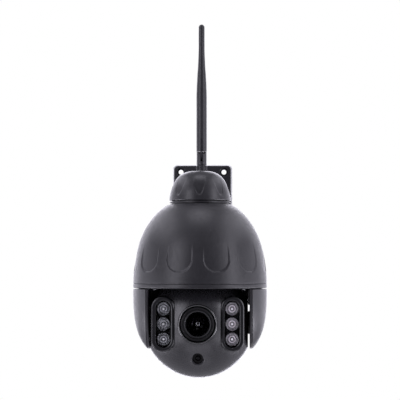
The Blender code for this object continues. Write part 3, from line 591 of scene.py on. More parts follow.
ARM_START = PLATE_T + 1.6
# Distance from the wall, half width, lowest and highest point of the arm
ARM_STATIONS = ((ARM_START, 23, -27, 24), (22, 20.5, -22, 22.5), (38, 19.5, -17, 22.5), (56, 20, -9, 23),
                (76, 22.5, 0.8, 24.3), (90, 23.3, 1.3, 24.9), (REACH - 3.7, 23.3, 1.3, 24.9))


def arm_section(half_w, low, high, steps):
    power = 2.6
    middle, half_h = (low + high) / 2, (high - low) / 2
    points = []
    for i in range(steps):
        a = 2 * pi * (i + 0.5) / steps
        c, s = cos(a), sin(a)
        scale = (abs(c) ** power + abs(s) ** power) ** (-1 / power)
        points.append((half_w * scale * c, middle + half_h * scale * s))
    return points


def between(stations, distance):
    """Width and heights at a distance from the wall, on cubic curves through the stations."""
    last = len(stations) - 1
    k = max(i for i in range(last) if stations[i][0] <= distance or i == 0)
    before, start = stations[max(k - 1, 0)], stations[k]
    end, after = stations[k + 1], stations[min(k + 2, last)]
    span = end[0] - start[0]
    t = min(1, (distance - start[0]) / span)
    values = []
    for i in (1, 2, 3):
        slope_a = (end[i] - before[i]) / (end[0] - before[0]) * span
        slope_b = (after[i] - start[i]) / (after[0] - start[0]) * span
        h00, h10 = 2 * t**3 - 3 * t**2 + 1, t**3 - 2 * t**2 + t
        h01, h11 = 3 * t**2 - 2 * t**3, t**3 - t**2
        values.append(h00 * start[i] + h10 * slope_a + h01 * end[i] + h11 * slope_b)
    return values


def arm_loft(inset, start, rings, steps):
    """The arm from its root to the middle of the cap. The outside's root has a rounded edge."""
    length = ARM_STATIONS[-1][0] - start
    edge = 0 if inset else 0.8
    # Places along the arm, each with how far the rounded edge sets the outline in there
    places = [(0, 0)]
    if edge:
        places = [(edge * (1 - cos(a)), edge * (1 - sin(a))) for a in [radians(22.5) * i for i in range(5)]]
    places += [(edge + (length - edge) * i / rings, 0) for i in range(1, rings + 1)]
    made = []
    for along, rounding in places:
        distance = start + along
        half_w, low, high = between(ARM_STATIONS, distance)
        set_in = inset + rounding
        section = arm_section(half_w - set_in, low + set_in, high - set_in, steps)
        made.append([(x, -distance, z) for x, z in section])
    return skin(made)


CAP_R, CAP_H, CAP_LOW = 29.7, 28, -0.9
CAP_UP, CAP_ACROSS = 1.6, 3.4


def cap_profile(inset, low, rows):
    rise = CAP_H - inset
    levels = [rise * sin(radians(90) * i / rows) for i in range(1, rows)]
    curve = [((CAP_R - inset) * (1 - (h / rise) ** CAP_UP) ** (1 / CAP_ACROSS), h) for h in levels]
    skirt = [(0, low), (CAP_R - 0.5, low), (CAP_R - 0.15, low + 0.15), (CAP_R, low + 0.5)]
    if inset:
        skirt = [(0, low), (CAP_R - inset, low)]
    return skirt + [(CAP_R - inset, 0)] + curve + [(0, rise)]


def wall_arm():
    relief = petal_relief(CAP_PETALS, radians(14), 3.4, 22, 0.8, round_h=7, edge=0.6, taper=0.5)
    cap = moved(lathe(cap_profile(0, CAP_LOW, 56), 384, relief), CAP_AT)
    bosses = [moved(rod(7.6, 15, 25.2, 64, 0.6), MAST), moved(rod(10, -21, -10, 64, 0.6), (0, GLAND_Y, 0))]
    hollow = moved(lathe(cap_profile(3, -3, 20), 96), CAP_AT)
    holes = [moved(rod(3.4, 10, 30), MAST), moved(rod(6.4, -25, -5), (0, GLAND_Y, 0))]
    holes += [moved(rod(1.9, 5, 25, 24), (0, 0, z), LOOK_FORWARD) for z in (-ARM_SCREW_Z, ARM_SCREW_Z)]
    inside = carve(arm_loft(3, ARM_START + 6, 24, 40), ("UNION", hollow), ("UNION", *holes))
    outside = arm_loft(0, ARM_START, 48, 80)
    bm = carve(outside, ("UNION", cap), ("UNION", *bosses), ("DIFFERENCE", inside))
    piece("wall_arm", bm, "bracket", "bracket_plastic", "bracket_arm")


def root_gasket():
    outline = arm_section(22, -26, 23, 72)
    low, high = PLATE_T + GAP, ARM_START - GAP
    profile = soften([(5, low), (0, low), (0, high), (5, high)], 0.3)
    bm = outline_solid(lambda inset: shrunk(outline, inset), profile)
    holes = [moved(rod(2.1, 5, 15, 24), (0, z, 0)) for z in (-ARM_SCREW_Z, ARM_SCREW_Z)]
    bm = carve(bm, ("DIFFERENCE", *holes))
    piece("root_gasket", bm, "bracket", "rubber", "arm_gasket", turn=LOOK_FORWARD)


GLAND_Y = (box("gland_nut")[0].y + box("gland_nut")[1].y) / 2


def cable_outlet():
    """The gland's hexagon nut, with its corners turned off, and the rubber seal in it."""
    low, high, top = -27, -21.3, -9
    flats = 7.5
    corner_r = flats / cos(radians(30))
    hexagon = []
    for i in range(6):
        start, end = [Vector((cos(a), sin(a))) * corner_r for a in (radians(60 * i), radians(60 * (i + 1)))]
        hexagon += [start.lerp(end, step / 8) for step in range(8)]

    def ring(limit, height):
        """The hexagon with its corners cut by a circle, or that circle itself where it fits inside."""
        return [(*(point * min(1, limit / point.length)), height) for point in hexagon]
    rings = [ring(4.4, low), ring(flats - 0.1, low), ring(corner_r, low + 0.9), ring(corner_r, high - 0.9)]
    rings += [ring(flats - 0.1, high), ring(6.1, high), ring(6.1, top), ring(4.4, top)]
    at = (0, GLAND_Y, 0)
    piece("outlet_nut", skin(rings, True), "bracket", "frame_plastic", "gland_nut", at=at)
    seal = [(4.1, top), (4.1, low - 1), (3.3, low - 1), (3.3, top)]
    piece("outlet_seal", turned_ring(seal, 64, 0.35), "bracket", "rubber", "gland_seal", at=at)


# ---- antenna
PIN_Z = HINGE.z
PIN_R = 1.2
COLLAR_LOW, COLLAR_HIGH = heights("antenna_collar")
WHIP_LOW, WHIP_HIGH = heights("antenna_whip")
KNUCKLE_R = 5.06
EAR_R = 4.97
HINGE_SLOT = 1.9


def mast_piece(name, bm, body, node):
    piece(name, bm, body, "antenna_plastic", node, at=MAST)


def antenna_collar():
    """The ribbed ring that clamps the antenna on its jack."""
    low, high, outer_r = COLLAR_LOW, COLLAR_HIGH, 5.65
    ribs, steps = 20, 8

    def ribbed(radius, height, angle):
        if height < low + 0.9 or height > high - 0.9 or radius < 4:
            return 0
        return 0.45 * smoothstep(-0.5, 0.6, -cos(ribs * angle))
    outer = [(outer_r - 0.45, low), (outer_r - 0.1, low + 0.35), (outer_r, low + 0.85), (outer_r, low + 0.95)]
    outer += [(outer_r, high - 0.95), (outer_r, high - 0.85), (outer_r - 0.1, high - 0.35)]
    outer.append((outer_r - 0.6, high))
    profile = [(3.4, low)] + outer + [(2.2, high), (2.2, 35.3), (3.4, 35.3)]
    mast_piece("mast_collar", lathe(profile, ribs * steps, ribbed), "bracket", "antenna_collar")


def antenna_knuckle():
    """The antenna's lower hinge half: a round stub with two domed ears."""
    low, high = COLLAR_HIGH + GAP, PIN_Z + 6
    profile = [(0, low), (KNUCKLE_R - 0.3, low), (KNUCKLE_R, low + 0.3), (KNUCKLE_R, high), (0, high)]
    ears = arc((0, PIN_Z), EAR_R, 0, 180, 32) + [(-EAR_R, 30), (EAR_R, 30)]
    rounding = moved(skin([[(x, y, z) for x, y in ears] for z in (-8, 8)]), turn=(90, 0, 90))
    slot = block((0, 0, PIN_Z + 5.25), (HINGE_SLOT, 20, 20))
    pin_hole = moved(rod(PIN_R, -8, 8), (0, 0, PIN_Z), (0, 90, 0))
    bm = carve(lathe(profile, 96), ("INTERSECT", rounding), ("DIFFERENCE", slot), ("DIFFERENCE", pin_hole))
    mast_piece("mast_knuckle", bm, "antenna_swivel", "antenna_knuckle")


def antenna_link():
    """The flat tongue of the stick, which turns on the hinge pin between the ears."""
    half_t, half_d, link_top = HINGE_SLOT / 2 - 0.01, 4.6, 64.6
    outline = arc((0, PIN_Z), half_d, 180, 360, 24) + [(half_d, link_top), (-half_d, link_top)]
    edge = soften([(1.2, -half_t), (0, -half_t), (0, half_t), (1.2, half_t)], 0.2)
    link = moved(outline_solid(lambda inset: shrunk(outline, inset), edge), turn=(90, 0, 90))
    hole = moved(rod(PIN_R, -4, 4), (0, 0, PIN_Z), (0, 90, 0))
    mast_piece("mast_link", carve(link, ("DIFFERENCE", hole)), "antenna_stick", "antenna_link")


def antenna_whip():
    """The stick: straight below, then drawn in to a thin round-ended tip."""
    whip_r, tip_r = 5.25, 3
    taper = [(108, whip_r), (118, 4.92), (128, 4.4), (138.5, 3.66), (149, 3.2), (156, 3.02)]
    taper.append((WHIP_HIGH - 6, tip_r))
    start, rows, steps = WHIP_LOW + 0.5, 30, 6
    profile = [(0, WHIP_LOW), (whip_r - 0.4, WHIP_LOW), (whip_r - 0.1, WHIP_LOW + 0.12)]
    profile += [(whip_r, start + (taper[0][0] - start) * i / rows) for i in range(rows)]
    for (z, radius), (next_z, next_r) in zip(taper, taper[1:]):
        for t in [i / steps for i in range(steps)]:
            eased = (smoothstep(0, 1, t) + t) / 2
            profile.append((radius + (next_r - radius) * eased, z + (next_z - z) * t))
    profile += arc((0, WHIP_HIGH - tip_r), tip_r, 0, 90, 10)[:-1] + [(0, WHIP_HIGH)]
    slot = block((0, 0, 57.3), (HINGE_SLOT, 20, 14.8))
    mast_piece("mast_whip", carve(lathe(profile, 72), ("DIFFERENCE", slot)), "antenna_stick", "antenna_whip")


# ---- fixed housing
def dome_housing():
    relief = petal_relief(DOME_PETALS, radians(11.7), 15.6, 46, 0.75, round_h=12, edge=0.8)
    rows, low, high = 130, HOUSING_LOW, HOUSING_TOP
    spread = [low + (high - low) * sin(radians(90) * i / rows) for i in range(1, rows + 1)]
    outer = [(egg(low) - 0.35, low), (egg(low) - 0.08, low + 0.12)] + [(egg(h), h) for h in spread]
    lip = [(egg(high), high), (LIP_R + 0.4, high), (LIP_R, LIP_TOP), (LIP_BORE, LIP_TOP)]
    lip = soften(lip + [(LIP_BORE, high - WALL), (30.4, high - WALL)], 0.25)[1:]
    inner = [(egg(h) - WALL, h) for h in spread[-14:4:-6]] + [(egg(low) - WALL, low)]

    def outside_only(radius, height, angle):
        return relief(radius, height, angle) if radius > egg(height) - 0.5 else 0
    bm = lathe(outer + lip + inner, 704, outside_only)
    piece("dome_housing", bm, "bracket", "shell_plastic", "upper_housing", at=PAN)


def rim_ring():
    """The ring that closes the housing from below, with its seal groove and the posts for the chassis."""
    rounding, low, seam = 0.6, 0.6, HOUSING_LOW - GAP
    profile = [(61, 3.5), (61, low)] + arc((EGG_R - rounding, low + rounding), rounding, -90, 0, 6)
    profile += [(EGG_R, seam), (60.8, seam), (60.8, 6.2), (59.4, 6.2), (59.4, 8.2), (60.8, 8.2), (60.8, 9.6)]
    profile += [(58, 9.6), (58, 6), (49, 6), (49, 3.5)]
    bm = turned_ring(profile, 224, 0.35, 4)
    angles = [radians(90 + 120 * i) for i in range(3)]
    posts = [moved(rod(3.2, 5, 29.7, 32, 0.4), (53 * cos(a), 53 * sin(a), 0)) for a in angles]
    bm = carve(bm, ("UNION", *posts))
    piece("rim_ring", bm, "bracket", "shell_plastic", "housing_ring", at=PAN)


def neck_band():
    """The tube between housing and cap, with a raised band between two grooves."""
    band_low, band_high = LIP_TOP + 1.1, LIP_TOP + 2.3
    top = CAP_LOW - PAN.z - GAP
    groove = 27.4
    profile = [(15, 71.5), (18.5, 71.5), (18.5, LIP_TOP + GAP), (groove, LIP_TOP + GAP), (groove, band_low)]
    profile += [(LIP_R, band_low), (LIP_R, band_high), (groove, band_high), (groove, top)]
    profile += [(23, top), (23, top + 9), (15, top + 9)]
    bm = turned_ring(profile, 192, 0.3)
    piece("neck_band", bm, "bracket", "shell_plastic", "neck_tube", at=PAN)


# ---- turntable and arms
BOWL_R, BOWL_WALL = 55, 2.4
HUB_R, HUB_BORE, HUB_TOP = 12, 8, 44
TURNTABLE_R = 60.4
SKIRT_R, SKIRT_T, SKIRT_DROP = 58.5, 3, 11
SCREW_X, SCREW_Y = 42.8, -28


def bowl_arc(radius, start_r, end_r, steps):
    first, last = [degrees(acos(r / radius)) for r in (start_r, end_r)]
    return arc((0, -TILT_DROP), radius, first, last, steps)


def turntable():
    """The bowl over the ball, which turns in the housing, and the wall behind the head, near-black as painted
    shade.
    """
    inner_rim = sqrt(BOWL_R**2 - TILT_DROP**2)
    outer_bowl = BOWL_R + BOWL_WALL
    outer_rim = sqrt(outer_bowl**2 - (TILT_DROP + 3) ** 2)
    profile = bowl_arc(BOWL_R, HUB_BORE, inner_rim, 24) + [(TURNTABLE_R, 0), (TURNTABLE_R, 3)]
    profile += bowl_arc(outer_bowl, outer_rim, HUB_R, 20) + [(HUB_R, HUB_TOP), (HUB_BORE, HUB_TOP)]
    bm = turned_ring(profile, 176, 0.4)
    half_w = ARM_IN - 0.08
    ends = [degrees(acos(half_w / radius)) for radius in (SKIRT_R, SKIRT_R - SKIRT_T)]
    outline = arc((0, 0), SKIRT_R, ends[0], 180 - ends[0], 56)
    outline += arc((0, 0), SKIRT_R - SKIRT_T, 180 - ends[1], ends[1], 56)
    section = [(0.5, -SKIRT_DROP), (0.15, -SKIRT_DROP + 0.15), (0, -SKIRT_DROP + 0.5), (0, 1.5)]
    skirt = outline_solid(lambda inset: shrunk(outline, inset), section)
    holes = [moved(rod(1.7, -2, 4, 24), (x, SCREW_Y, 0)) for x in (-SCREW_X, SCREW_X)]
    bm = carve(bm, ("UNION", skirt), ("DIFFERENCE", *holes))
    # The near-black look is painted shade for the dark under the dome.
    piece("turntable_bowl", bm, "yoke", "frame_plastic", "yoke_turntable", at=PAN, look=MATT_BLACK_AND_SHADE)


def cross_screw(head_r, head_h, shank_r, shank_l):
    """A pan-head screw whose shank points along local -Z."""
    curve = ((1, 0), (1, 0.35), (0.93, 0.62), (0.75, 0.86), (0.45, 0.97), (0, 1))
    head = [(head_r * across, head_h * up) for across, up in curve]
    profile = [(0, -shank_l), (shank_r * 0.5, -shank_l)]
    pitch = 0.6
    for i in range(int((shank_l - 1) / pitch)):
        z = -shank_l + 0.6 + i * pitch
        profile += [(shank_r * 0.82, z), (shank_r, z + pitch * 0.5)]
    profile += [(shank_r * 0.9, -0.2), (shank_r * 0.9, 0)]
    long, short = head_r * 0.55, head_r * 0.16
    cross = [(long, short), (short, short), (short, long), (-short, long), (-short, short), (-long, short)]
    cross += [(-x, -y) for x, y in cross]
    recess = skin([[(x * taper, y * taper, z) for x, y in cross]
                   for taper, z in ((0.6, head_h * 0.25), (1, head_h * 1.1))])
    return carve(lathe(profile + head, 48), ("DIFFERENCE", recess))


def screws():
    for side, x in (("left", -SCREW_X), ("right", SCREW_X)):
        bm = moved(cross_screw(2.3, 1.3, 1.35, 3), (x, SCREW_Y, -GAP), (180, 0, 0))
        piece(f"yoke_screw_{side}", bm, "yoke", "steel", f"turntable_screw_{side}", at=PAN)
    for side, x in zip(("left", "right"), HEAD_SCREWS):
        bm = moved(cross_screw(3, 2.2, 1.5, 16), (x, SCREW_SEAT + GAP, SCREW_RISE), LOOK_BACK)
        piece(f"shell_screw_{side}", bm, "head", "steel", f"head_screw_{side}", at=TILT)


ARM_IN, FRAME_T = 47.9, 2.1
COVER_IN = ARM_IN + FRAME_T + GAP
AXLE_HUB_R, AXLE_BORE = 11.1, 6
HEAD_CLEAR = 0.12
ARM_MIDDLE_Z = -22


def egg_tip(plane, inset=0):
    """The height where the egg's surface, moved in by `inset`, meets a plane beside the head."""
    return -EGG_LOW * superellipse((plane + inset) / EGG_R, EGG_LOW_POWER)


def arm_plate(side, sign):
    """The inner plate of one arm: the outline of its cover, a thick root and a round hub on the tilt axis."""
    plane, inset, top = ARM_IN + FRAME_T, 0.6, -GAP
    low = egg_tip(plane) + inset
    steps = 40
    half = []
    for i in range(steps + 1):
        z = top + (low - top) * sin(radians(90) * i / steps)
        reach = sqrt(max(egg(z - inset * i / steps) ** 2 - plane**2, 0))
        half.append((max(reach - inset, 0), z))
    outline = [(-y, z) for y, z in half[:-1]] + [(y, z) for y, z in half[::-1]]
    tip = [point for point in outline if point[1] < low + 0.02]
    outline = [point for point in outline if point not in tip] if len(tip) > 1 else outline
    edge = soften([(2, ARM_IN), (0, ARM_IN), (0, plane), (2, plane)], 0.4, 4)
    bm = outline_solid(lambda inset: shrunk(outline, inset), edge)
    if sign < 0:
        bmesh.ops.scale(bm, vec=(1, 1, -1), verts=bm.verts)
    bm = moved(bm, turn=(90, 0, 90))
    inner_face = BALL_SIDES[side] + sign * (TILT.x - PAN.x) + HEAD_CLEAR
    root_out = ARM_IN + 0.9
    root = block((sign * (inner_face + root_out) / 2, 0, -7.8), (root_out - inner_face, 54, 15))
    bmesh.ops.bevel(root, geom=root.edges[:], offset=0.7, segments=3, affect="EDGES", profile=0.5)
    axis = {"at": (0, 0, -TILT_DROP), "turn": (0, 90 * sign, 0)}
    hub = moved(rod(AXLE_HUB_R, inner_face, 50, 72, 0.5), **axis)
    bore = moved(rod(AXLE_BORE, 44, 54), **axis)
    bm = carve(bm, ("UNION", root), ("UNION", hub), ("DIFFERENCE", bore))
    piece(f"arm_plate_{side}", bm, "yoke", "frame_plastic", f"arm_frame_{side}", at=PAN, look=ARM_PLATE)


ARM_ROWS, ARM_COLUMNS = 56, 44


def egg_patch(inset, plane, top):
    """A grid on the egg moved in by `inset`, cut at the plane. Its last row is the tip, one point."""
    low = egg_tip(plane, inset)
    grid = []
    for i in range(ARM_ROWS):
        z = top + (low - top) * sin(radians(90) * i / ARM_ROWS)
        radius = egg(z) - inset
        reach = sqrt(max(radius**2 - plane**2, 0))
        across = [-reach * cos(pi * j / ARM_COLUMNS) for j in range(ARM_COLUMNS + 1)]
        grid.append([(sqrt(radius**2 - y * y), y, z) for y in across])
    return grid + [[(plane, 0, low)]]


def border(grid):
    """The outer points of a grid, in the order of its edge."""
    return grid[0] + [row[-1] for row in grid[1:-1]] + grid[-1] + [row[0] for row in grid[-2:0:-1]]


def towards_middle(points, distance, x):
    """Points of an arm's edge moved towards the middle of the arm, onto the plane at x."""
    made = []
    for _, y, z in points:
        inward = Vector((-y, ARM_MIDDLE_Z - z)).normalized() * distance
        made.append((x, y + inward.x, z + inward.y))
    return made


def arm_shell(side, sign):
    """The outer cover of one arm, a hollow slice of the egg with a rounded edge."""
    outer, inner = egg_patch(0, COVER_IN + 0.35, -0.5), egg_patch(2.2, COVER_IN, -3)
    rounding = ((0, 0.22), (0.07, 0.06), (0.25, 0))
    rim = [border(outer)]
    rim += [towards_middle(rim[0], move, COVER_IN + rise) for move, rise in rounding]
    rim.append(border(inner))
    faces = []
    for grid in (outer, inner):
        for row, below in zip(grid, grid[1:]):
            below = below if len(below) > 1 else below * len(row)
            faces += zip(row, row[1:], below[1:], below)
    for near, far in zip(rim, rim[1:]):
        faces += zip(near, near[1:] + near[:1], far[1:] + far[:1], far)
    bm = bmesh.new()
    points = dict.fromkeys(point for face in faces for point in face)
    verts = {point: bm.verts.new(point) for point in points}
    for face in faces:
        bm.faces.new([verts[point] for point in dict.fromkeys(face)])
    if sign < 0:
        bmesh.ops.scale(bm, vec=(-1, 1, 1), verts=bm.verts)
    piece(f"arm_shell_{side}", bm, "yoke", "shell_plastic", f"arm_cover_{side}", at=PAN)


# ---- camera head
BALL_WALL = 2.5
AXLE_OPENING_R = 8.3
SPLIT = 14
POD_X, POD_HALF_W, POD_HALF_H, POD_FACE = 32.8, 10.8, 25.8, 45.5
WELL_X, WELL_HALF_W, WELL_HALF_H = 32.3, 7.3, 22.3
BEZEL_R = 18.5
SENSOR_DROP, SENSOR_WELL_R = 32.3, 5.1
HEAD_SCREWS = (-22, 22)
SCREW_RISE, SCREW_SEAT = 33, -8


def forward(bm, x=0, z=0):
    return moved(bm, (x, 0, z), LOOK_FORWARD)


def head_piece(name, bm, slot, *nodes, **more):
    piece(name, bm, "head", slot, *nodes, at=TILT, **more)


def turned_part(name, bm, slot, *nodes, **more):
    """A part turned about the lens axis. Its profile's heights run forward from the tilt axis."""
    head_piece(name, bm, slot, *nodes, turn=LOOK_FORWARD, **more)


def ball():
    """The hollow ball with flat sides and its two axle holes, turned about the tilt axis."""
    halves = []
    for wall, steps in ((0, 96), (BALL_WALL, 40)):
        left, right = [BALL_SIDES[side] - wall for side in ("left", "right")]
        radius = BALL_R - wall
        curve = arc((0, 0), radius, -degrees(asin(left / radius)), degrees(asin(right / radius)), steps)
        halves.append([(AXLE_OPENING_R, -left)] + curve + [(AXLE_OPENING_R, right)])
    return moved(turned_ring(halves[0] + halves[1][::-1], 224, 1.2, 5), turn=(0, 90, 0))


def head_front():
    cup = forward(rod(6.6, 31.5, 41.4, 64, 0.3), 0, -SENSOR_DROP)
    well = [(0, 33.5), (SENSOR_WELL_R - 0.5, 33.5), (SENSOR_WELL_R, 34), (SENSOR_WELL_R, 60), (0, 60)]
    holes = [forward(lathe(well, 64), 0, -SENSOR_DROP), forward(rod(BEZEL_R + GAP, 30, 60, 128))]
    for x in (-POD_X, POD_X):
        holes.append(forward(pill(POD_HALF_W + 0.5, POD_HALF_H + 0.5, [(0, 16), (0, 60)], 32), x))
    front = block((0, -100 - SPLIT - GAP, 0), (200, 200, 200))
    bm = carve(ball(), ("UNION", cup), ("INTERSECT", front), ("DIFFERENCE", *holes))
    head_piece("ball_front", bm, "shell_plastic", "head_front", look=HEAD)


def head_rear():
    columns = [moved(rod(5.2, -13.5, 36, 48), (x, 0, SCREW_RISE), LOOK_BACK) for x in HEAD_SCREWS]
    bore = [(0, -30), (1.8, -30), (1.8, SCREW_SEAT), (3.6, SCREW_SEAT), (3.6, 60), (0, 60)]
    holes = [moved(lathe(bore, 40), (x, 0, SCREW_RISE), LOOK_BACK) for x in HEAD_SCREWS]
    rear = block((0, 100 - SPLIT, 0), (200, 200, 200))
    bm = carve(ball(), ("INTERSECT", rear), ("UNION", *columns), ("DIFFERENCE", *holes))
    head_piece("ball_rear", bm, "shell_plastic", "head_rear", look=HEAD)


def lens_surround():
    """Round the lens, from the outside in: glossy rim, stepped hood and the ring that holds the window."""
    rim = [(BEZEL_R, 44), (BEZEL_R, 50.6)] + arc((BEZEL_R - 0.7, 50.9), 0.7, 0, 180, 14)
    rim += [(17.1, 50.6), (17.3, 49.6), (17.3, 44)]
    turned_part("lens_rim", turned_ring(rim, 160, 0.2), "black_gloss", "lens_bezel")
    hood = [(15.9, 44), (15.9, 50), (15.2, 50), (15, 49.6), (14.9, 48.9), (14, 48.9), (13.8, 48.5)]
    hood += [(13.7, 46.6), (13.45, 46.6), (13.45, 44)]
    turned_part("lens_steps", turned_ring(hood, 144, 0.22), "frame_plastic", "lens_hood", look=HOOD)
    ring = [(13.35, 44.5), (13.35, 47.7), (12.9, 48), (12.2, 48), (11.65, 47.6), (11.65, 44.5)]
    turned_part("lens_retainer", turned_ring(ring, 144, 0.3), "frame_plastic", "lens_hood", look=RETAINER)


def lens_glass():
    """The window, the front lens and the small lens behind it, which shows as a glint in the middle."""
    crown_r, crown_top = 120, 47
    crown = arc((0, crown_top - crown_r), crown_r, 90 - degrees(asin(11.2 / crown_r)), 90, 8)[:-1]
    window = [(0, 45.2), (11.2, 45.2), (11.6, 45.5), (11.6, 46.2)] + crown + [(0, crown_top)]
    turned_part("front_window", lathe(window, 128), "optical_glass", "lens_window", look=WINDOW)
    radius, crown, low, flange = 10.2, 3.5, 36 + GAP, 1
    curve_r = (radius**2 + crown**2) / (2 * crown)
    dome = []
    for i in range(25):
        r = radius * (1 - i / 24)
        dome.append((r, low + flange + sqrt(curve_r**2 - r**2) - (curve_r - crown)))
    lens = [(0, low), (radius - 0.2, low), (radius, low + 0.2)] + dome
    turned_part("lens_element", lathe(lens, 128), "optical_glass", "front_lens")
    ball_r, seat = 4, 41.1
    middle = seat - ball_r * cos(radians(58))
    bead = [(0, seat)] + arc((0, middle), ball_r, 32, 90, 24)[:-1] + [(0, middle + ball_r)]
    turned_part("lens_bead", lathe(bead), "optical_glass", look=INNER_LENS)


def sensor_eye():
    """The light sensor's low dome, in its well under the lens."""
    radius, seat = 2.6, 34.9
    curve = [(r, seat + (h - seat) / 2) for r, h in arc((0, seat), radius, 0, 90, 12)[1:-1]]
    eye = [(0, seat - 1.1), (radius, seat - 1.1), (radius, seat)] + curve + [(0, seat + radius / 2)]
    eye = forward(lathe(eye, 64), 0, -SENSOR_DROP)
    head_piece("sensor_eye", eye, "optical_glass", "light_sensor", look=EYE)


LED_PITCH = 14.3
LED_SPOTS = [(0, i * LED_PITCH, 0) for i in (-1, 0, 1)]


def per_led(profile, segments, relief=None):
    return [moved(lathe(profile, segments, relief), spot) for spot in LED_SPOTS]


def flutes(radius, _, angle):
    return 0.10 * (1 - cos(30 * angle)) if 4.4 < radius < 5.5 else 0


def flat_pill(gap, low, high, rounding):
    """A flat piece that lies in a lamp's well, with a gap round it."""
    edge = soften([(3, low), (0, low), (0, high), (3, high)], rounding)
    return pill(WELL_HALF_W - gap, WELL_HALF_H - gap, edge)


def lamp(side, sign):
    """One pill-shaped infrared lamp: frame, pane, web, three lenses with rings and dies, and LED board."""
    def place(name, bm, slot, *nodes, **more):
        head_piece(f"lamp_{name}_{side}", forward(bm, sign * WELL_X), slot, *nodes, **more)

    face = POD_FACE
    wall = soften([(0, 22), (0, face - 0.5), (0.95, face), (3, face)], 0.15, 4)
    flared = [(0, 20), (0, face - 0.3), (-1.6, face + 0.5)]
    well = forward(pill(WELL_HALF_W, WELL_HALF_H, flared, 36), sign * WELL_X)
    frame_bm = carve(forward(pill(POD_HALF_W, POD_HALF_H, wall, 36), sign * POD_X), ("DIFFERENCE", well))
    head_piece(f"lamp_frame_{side}", frame_bm, "black_gloss", f"led_frame_{side}", look=FRAME)

    place("pane", flat_pill(GAP, 43.2, 44.2, 0.2), "clear_plastic", f"led_window_{side}")
    # The web is near-black: painted shade for the dark inside of the lamp's well between the lenses.
    place("web", flat_pill(0.6, 37.6, 38.6, 0.2), "clear_plastic", f"led_lenses_{side}", look=MATT_BLACK_AND_SHADE)

    cup = [(0, 38.7), (5.6, 38.7), (6.2, 39.6), (6.25, 41.2), (6.05, 41.5), (5.6, 41.5), (5.3, 41.15)]
    cup += [(4.6, 40.8), (4.3, 41), (4, 41), (3.8, 40.6), (3.65, 40.3), (2.5, 40.3), (2.1, 40.5)]
    cup = gather(per_led(cup + [(0, 40.5)], 120, flutes))
    place("lenses", cup, "clear_plastic", f"led_lenses_{side}", look=FROST[side])
    ring = [(3.5, 40.4), (3.5, 41.3), (2.75, 41.3), (2.3, 40.6), (2.3, 40.4)]
    ring = soften(ring, 0.25, closed=True)
    place("rings", gather(per_led(ring, 64)), "zinc_plate", look=RING_METAL[side])
    low, rise = 40.6, 0.7
    die = [(0, low)] + [(1.1 * cos(radians(a)), low + rise * sin(radians(a))) for a in range(0, 90, 15)]
    place("dies", gather(per_led(die + [(0, low + rise)], 32)), "clear_plastic", look=DIE[side])

    led = [(0, 32.7), (2.4, 32.7), (2.4, 33.6)] + arc((0, 33.2), 1.5, 0, 90, 8)[1:-1] + [(0, 34.7)]
    board = gather([flat_pill(0.6, 31, 32.6, 0.15)] + per_led(led, 48))
    place("board", board, "circuit_board", f"led_board_{side}")


for make in (mounting_plate, wall_arm, root_gasket, cable_outlet, antenna_collar, antenna_knuckle,
             antenna_link, antenna_whip, dome_housing, rim_ring, neck_band, turntable, screws):
    make()
for side, sign in (("left", -1), ("right", 1)):
    arm_plate(side, sign)
    arm_shell(side, sign)
    lamp(side, sign)
for make in (head_front, head_rear, lens_surround, lens_glass, sensor_eye):
    make()


# ---- floor, light and camera
def floor():
    bm = bmesh.new()
    bmesh.ops.create_circle(bm, cap_ends=True, radius=6, segments=96)
    obj = mesh_object("floor", bm)
    obj.location = (0, 0, -0.9)
    look = Look("floor_paint", (0.9, 0.9, 0.9), 0.8, Emission_Color=(1, 1, 1, 1), Emission_Strength=0.35)
    look.colour(look.noise(2, 2), (0.88, 0.88, 0.88), (0.93, 0.93, 0.93))
    obj.data.materials.append(look.material)
    obj.visible_diffuse = False
    obj.visible_glossy = False


def studio_sky():
    """White to the camera. To everything else it is an even dim light that fades on the camera's side."""
    world = bpy.data.worlds.new("studio")
    bpy.context.scene.world = world
    world.use_nodes = True
    tree = world.node_tree
    tree.nodes.clear()
    kinds = ("TexCoord", "SeparateXYZ", "MapRange", "Background", "Background", "LightPath", "MixShader")
    nodes = [tree.nodes.new("ShaderNode" + kind) for kind in kinds + ("OutputWorld",)]
    where, parts, fade, fill, seen, rays, choose, output = nodes
    fade_range = {"From Min": -1, "From Max": -0.3, "To Min": SKY_FRONT, "To Max": SKY_FILL}
    for socket, value in fade_range.items():
        fade.inputs[socket].default_value = value
    fill.inputs["Color"].default_value = (*TINT, 1)
    seen.inputs["Color"].default_value = (1, 1, 1, 1)
    links = ((where, "Generated", parts, "Vector"), (parts, "Y", fade, "Value"), (fade, 0, fill, "Strength"),
             (rays, "Is Camera Ray", choose, 0), (fill, 0, choose, 1), (seen, 0, choose, 2),
             (choose, 0, output, 0))
    for source, out_socket, target, in_socket in links:
        tree.links.new(source.outputs[out_socket], target.inputs[in_socket])


SKY_FILL, SKY_FRONT = 0.45, 0.15
TINT = (1, 0.98, 1.09)
LIGHT_DISTANCE = 1.2
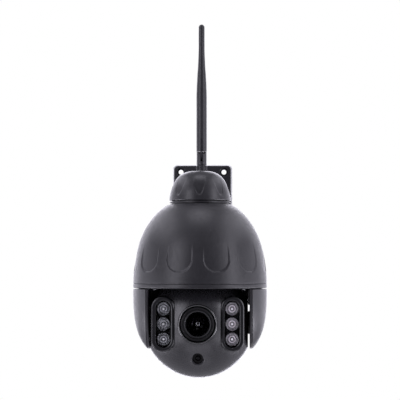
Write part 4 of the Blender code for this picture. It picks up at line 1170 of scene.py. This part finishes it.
# Name, degrees round from the camera's side, degrees up, width and height in metres, watts
SOFTBOXES = (
    ("key_left", -42, 12, 0.45, 1, 3.8),
    ("key_right", 58, 12, 0.45, 1, 3.7),
    ("low_left", -90, -25, 0.9, 0.5, 9.4),
    ("low_right", 90, -25, 0.9, 0.5, 11),
    ("low_key_left", -42, -27, 0.45, 0.5, 1.1),
    ("low_key_right", 48, -27, 0.6, 0.5, 1),
    ("front_low", 0, -52, 1, 0.5, 1.2),
    ("high_left", -95, 45, 1.1, 0.6, 3.3),
    ("high_right", 95, 45, 1.1, 0.6, 3),
    ("side_left", -105, 5, 0.7, 0.6, 0.7),
    ("side_right", 105, 5, 0.7, 0.6, 0.7),
    ("top", 0, 82, 0.6, 0.6, 2.2),
    ("bottom", 0, -82, 0.6, 0.6, 0.5),
    ("rear_left", -145, 15, 0.8, 1.2, 4.5),
    ("rear_right", 145, 15, 0.8, 1.2, 3.5),
    ("rear", 180, 5, 0.8, 1.4, 9),
)


def softboxes():
    middle = Vector((PAN.x * MM, PAN.y * MM, -0.07))
    for name, azimuth, elevation, width, height, watts in SOFTBOXES:
        data = bpy.data.lights.new(name, "AREA")
        data.shape = "RECTANGLE"
        data.size, data.size_y = width, height
        data.energy = watts
        data.color = TINT
        obj = new_object(name, data)
        round_by, up_by = radians(azimuth), radians(elevation)
        away = Vector((sin(round_by) * cos(up_by), -cos(round_by) * cos(up_by), sin(up_by)))
        obj.location = middle + away * LIGHT_DISTANCE
        obj.rotation_euler = (-away).to_track_quat("-Z", "Y").to_euler()
        obj.visible_camera = False


def studio_camera():
    """Level with the housing, far enough for a long lens, and pitched up a little as in a catalogue shot."""
    data = bpy.data.cameras.new("camera")
    data.sensor_width = 36
    data.lens = 148.9
    obj = new_object("camera", data)
    azimuth, pitch, distance, height = radians(1.4), radians(2.146), 1.6, -0.060
    axis_x, axis_y = PAN.x * MM, PAN.y * MM
    obj.location = (axis_x + distance * sin(azimuth), axis_y - distance * cos(azimuth), height)
    obj.rotation_euler = (radians(90) + pitch, 0, azimuth)
    bpy.context.scene.camera = obj


floor()
studio_sky()
softboxes()
studio_camera()
scene = bpy.context.scene
scene.view_settings.view_transform = "Standard"
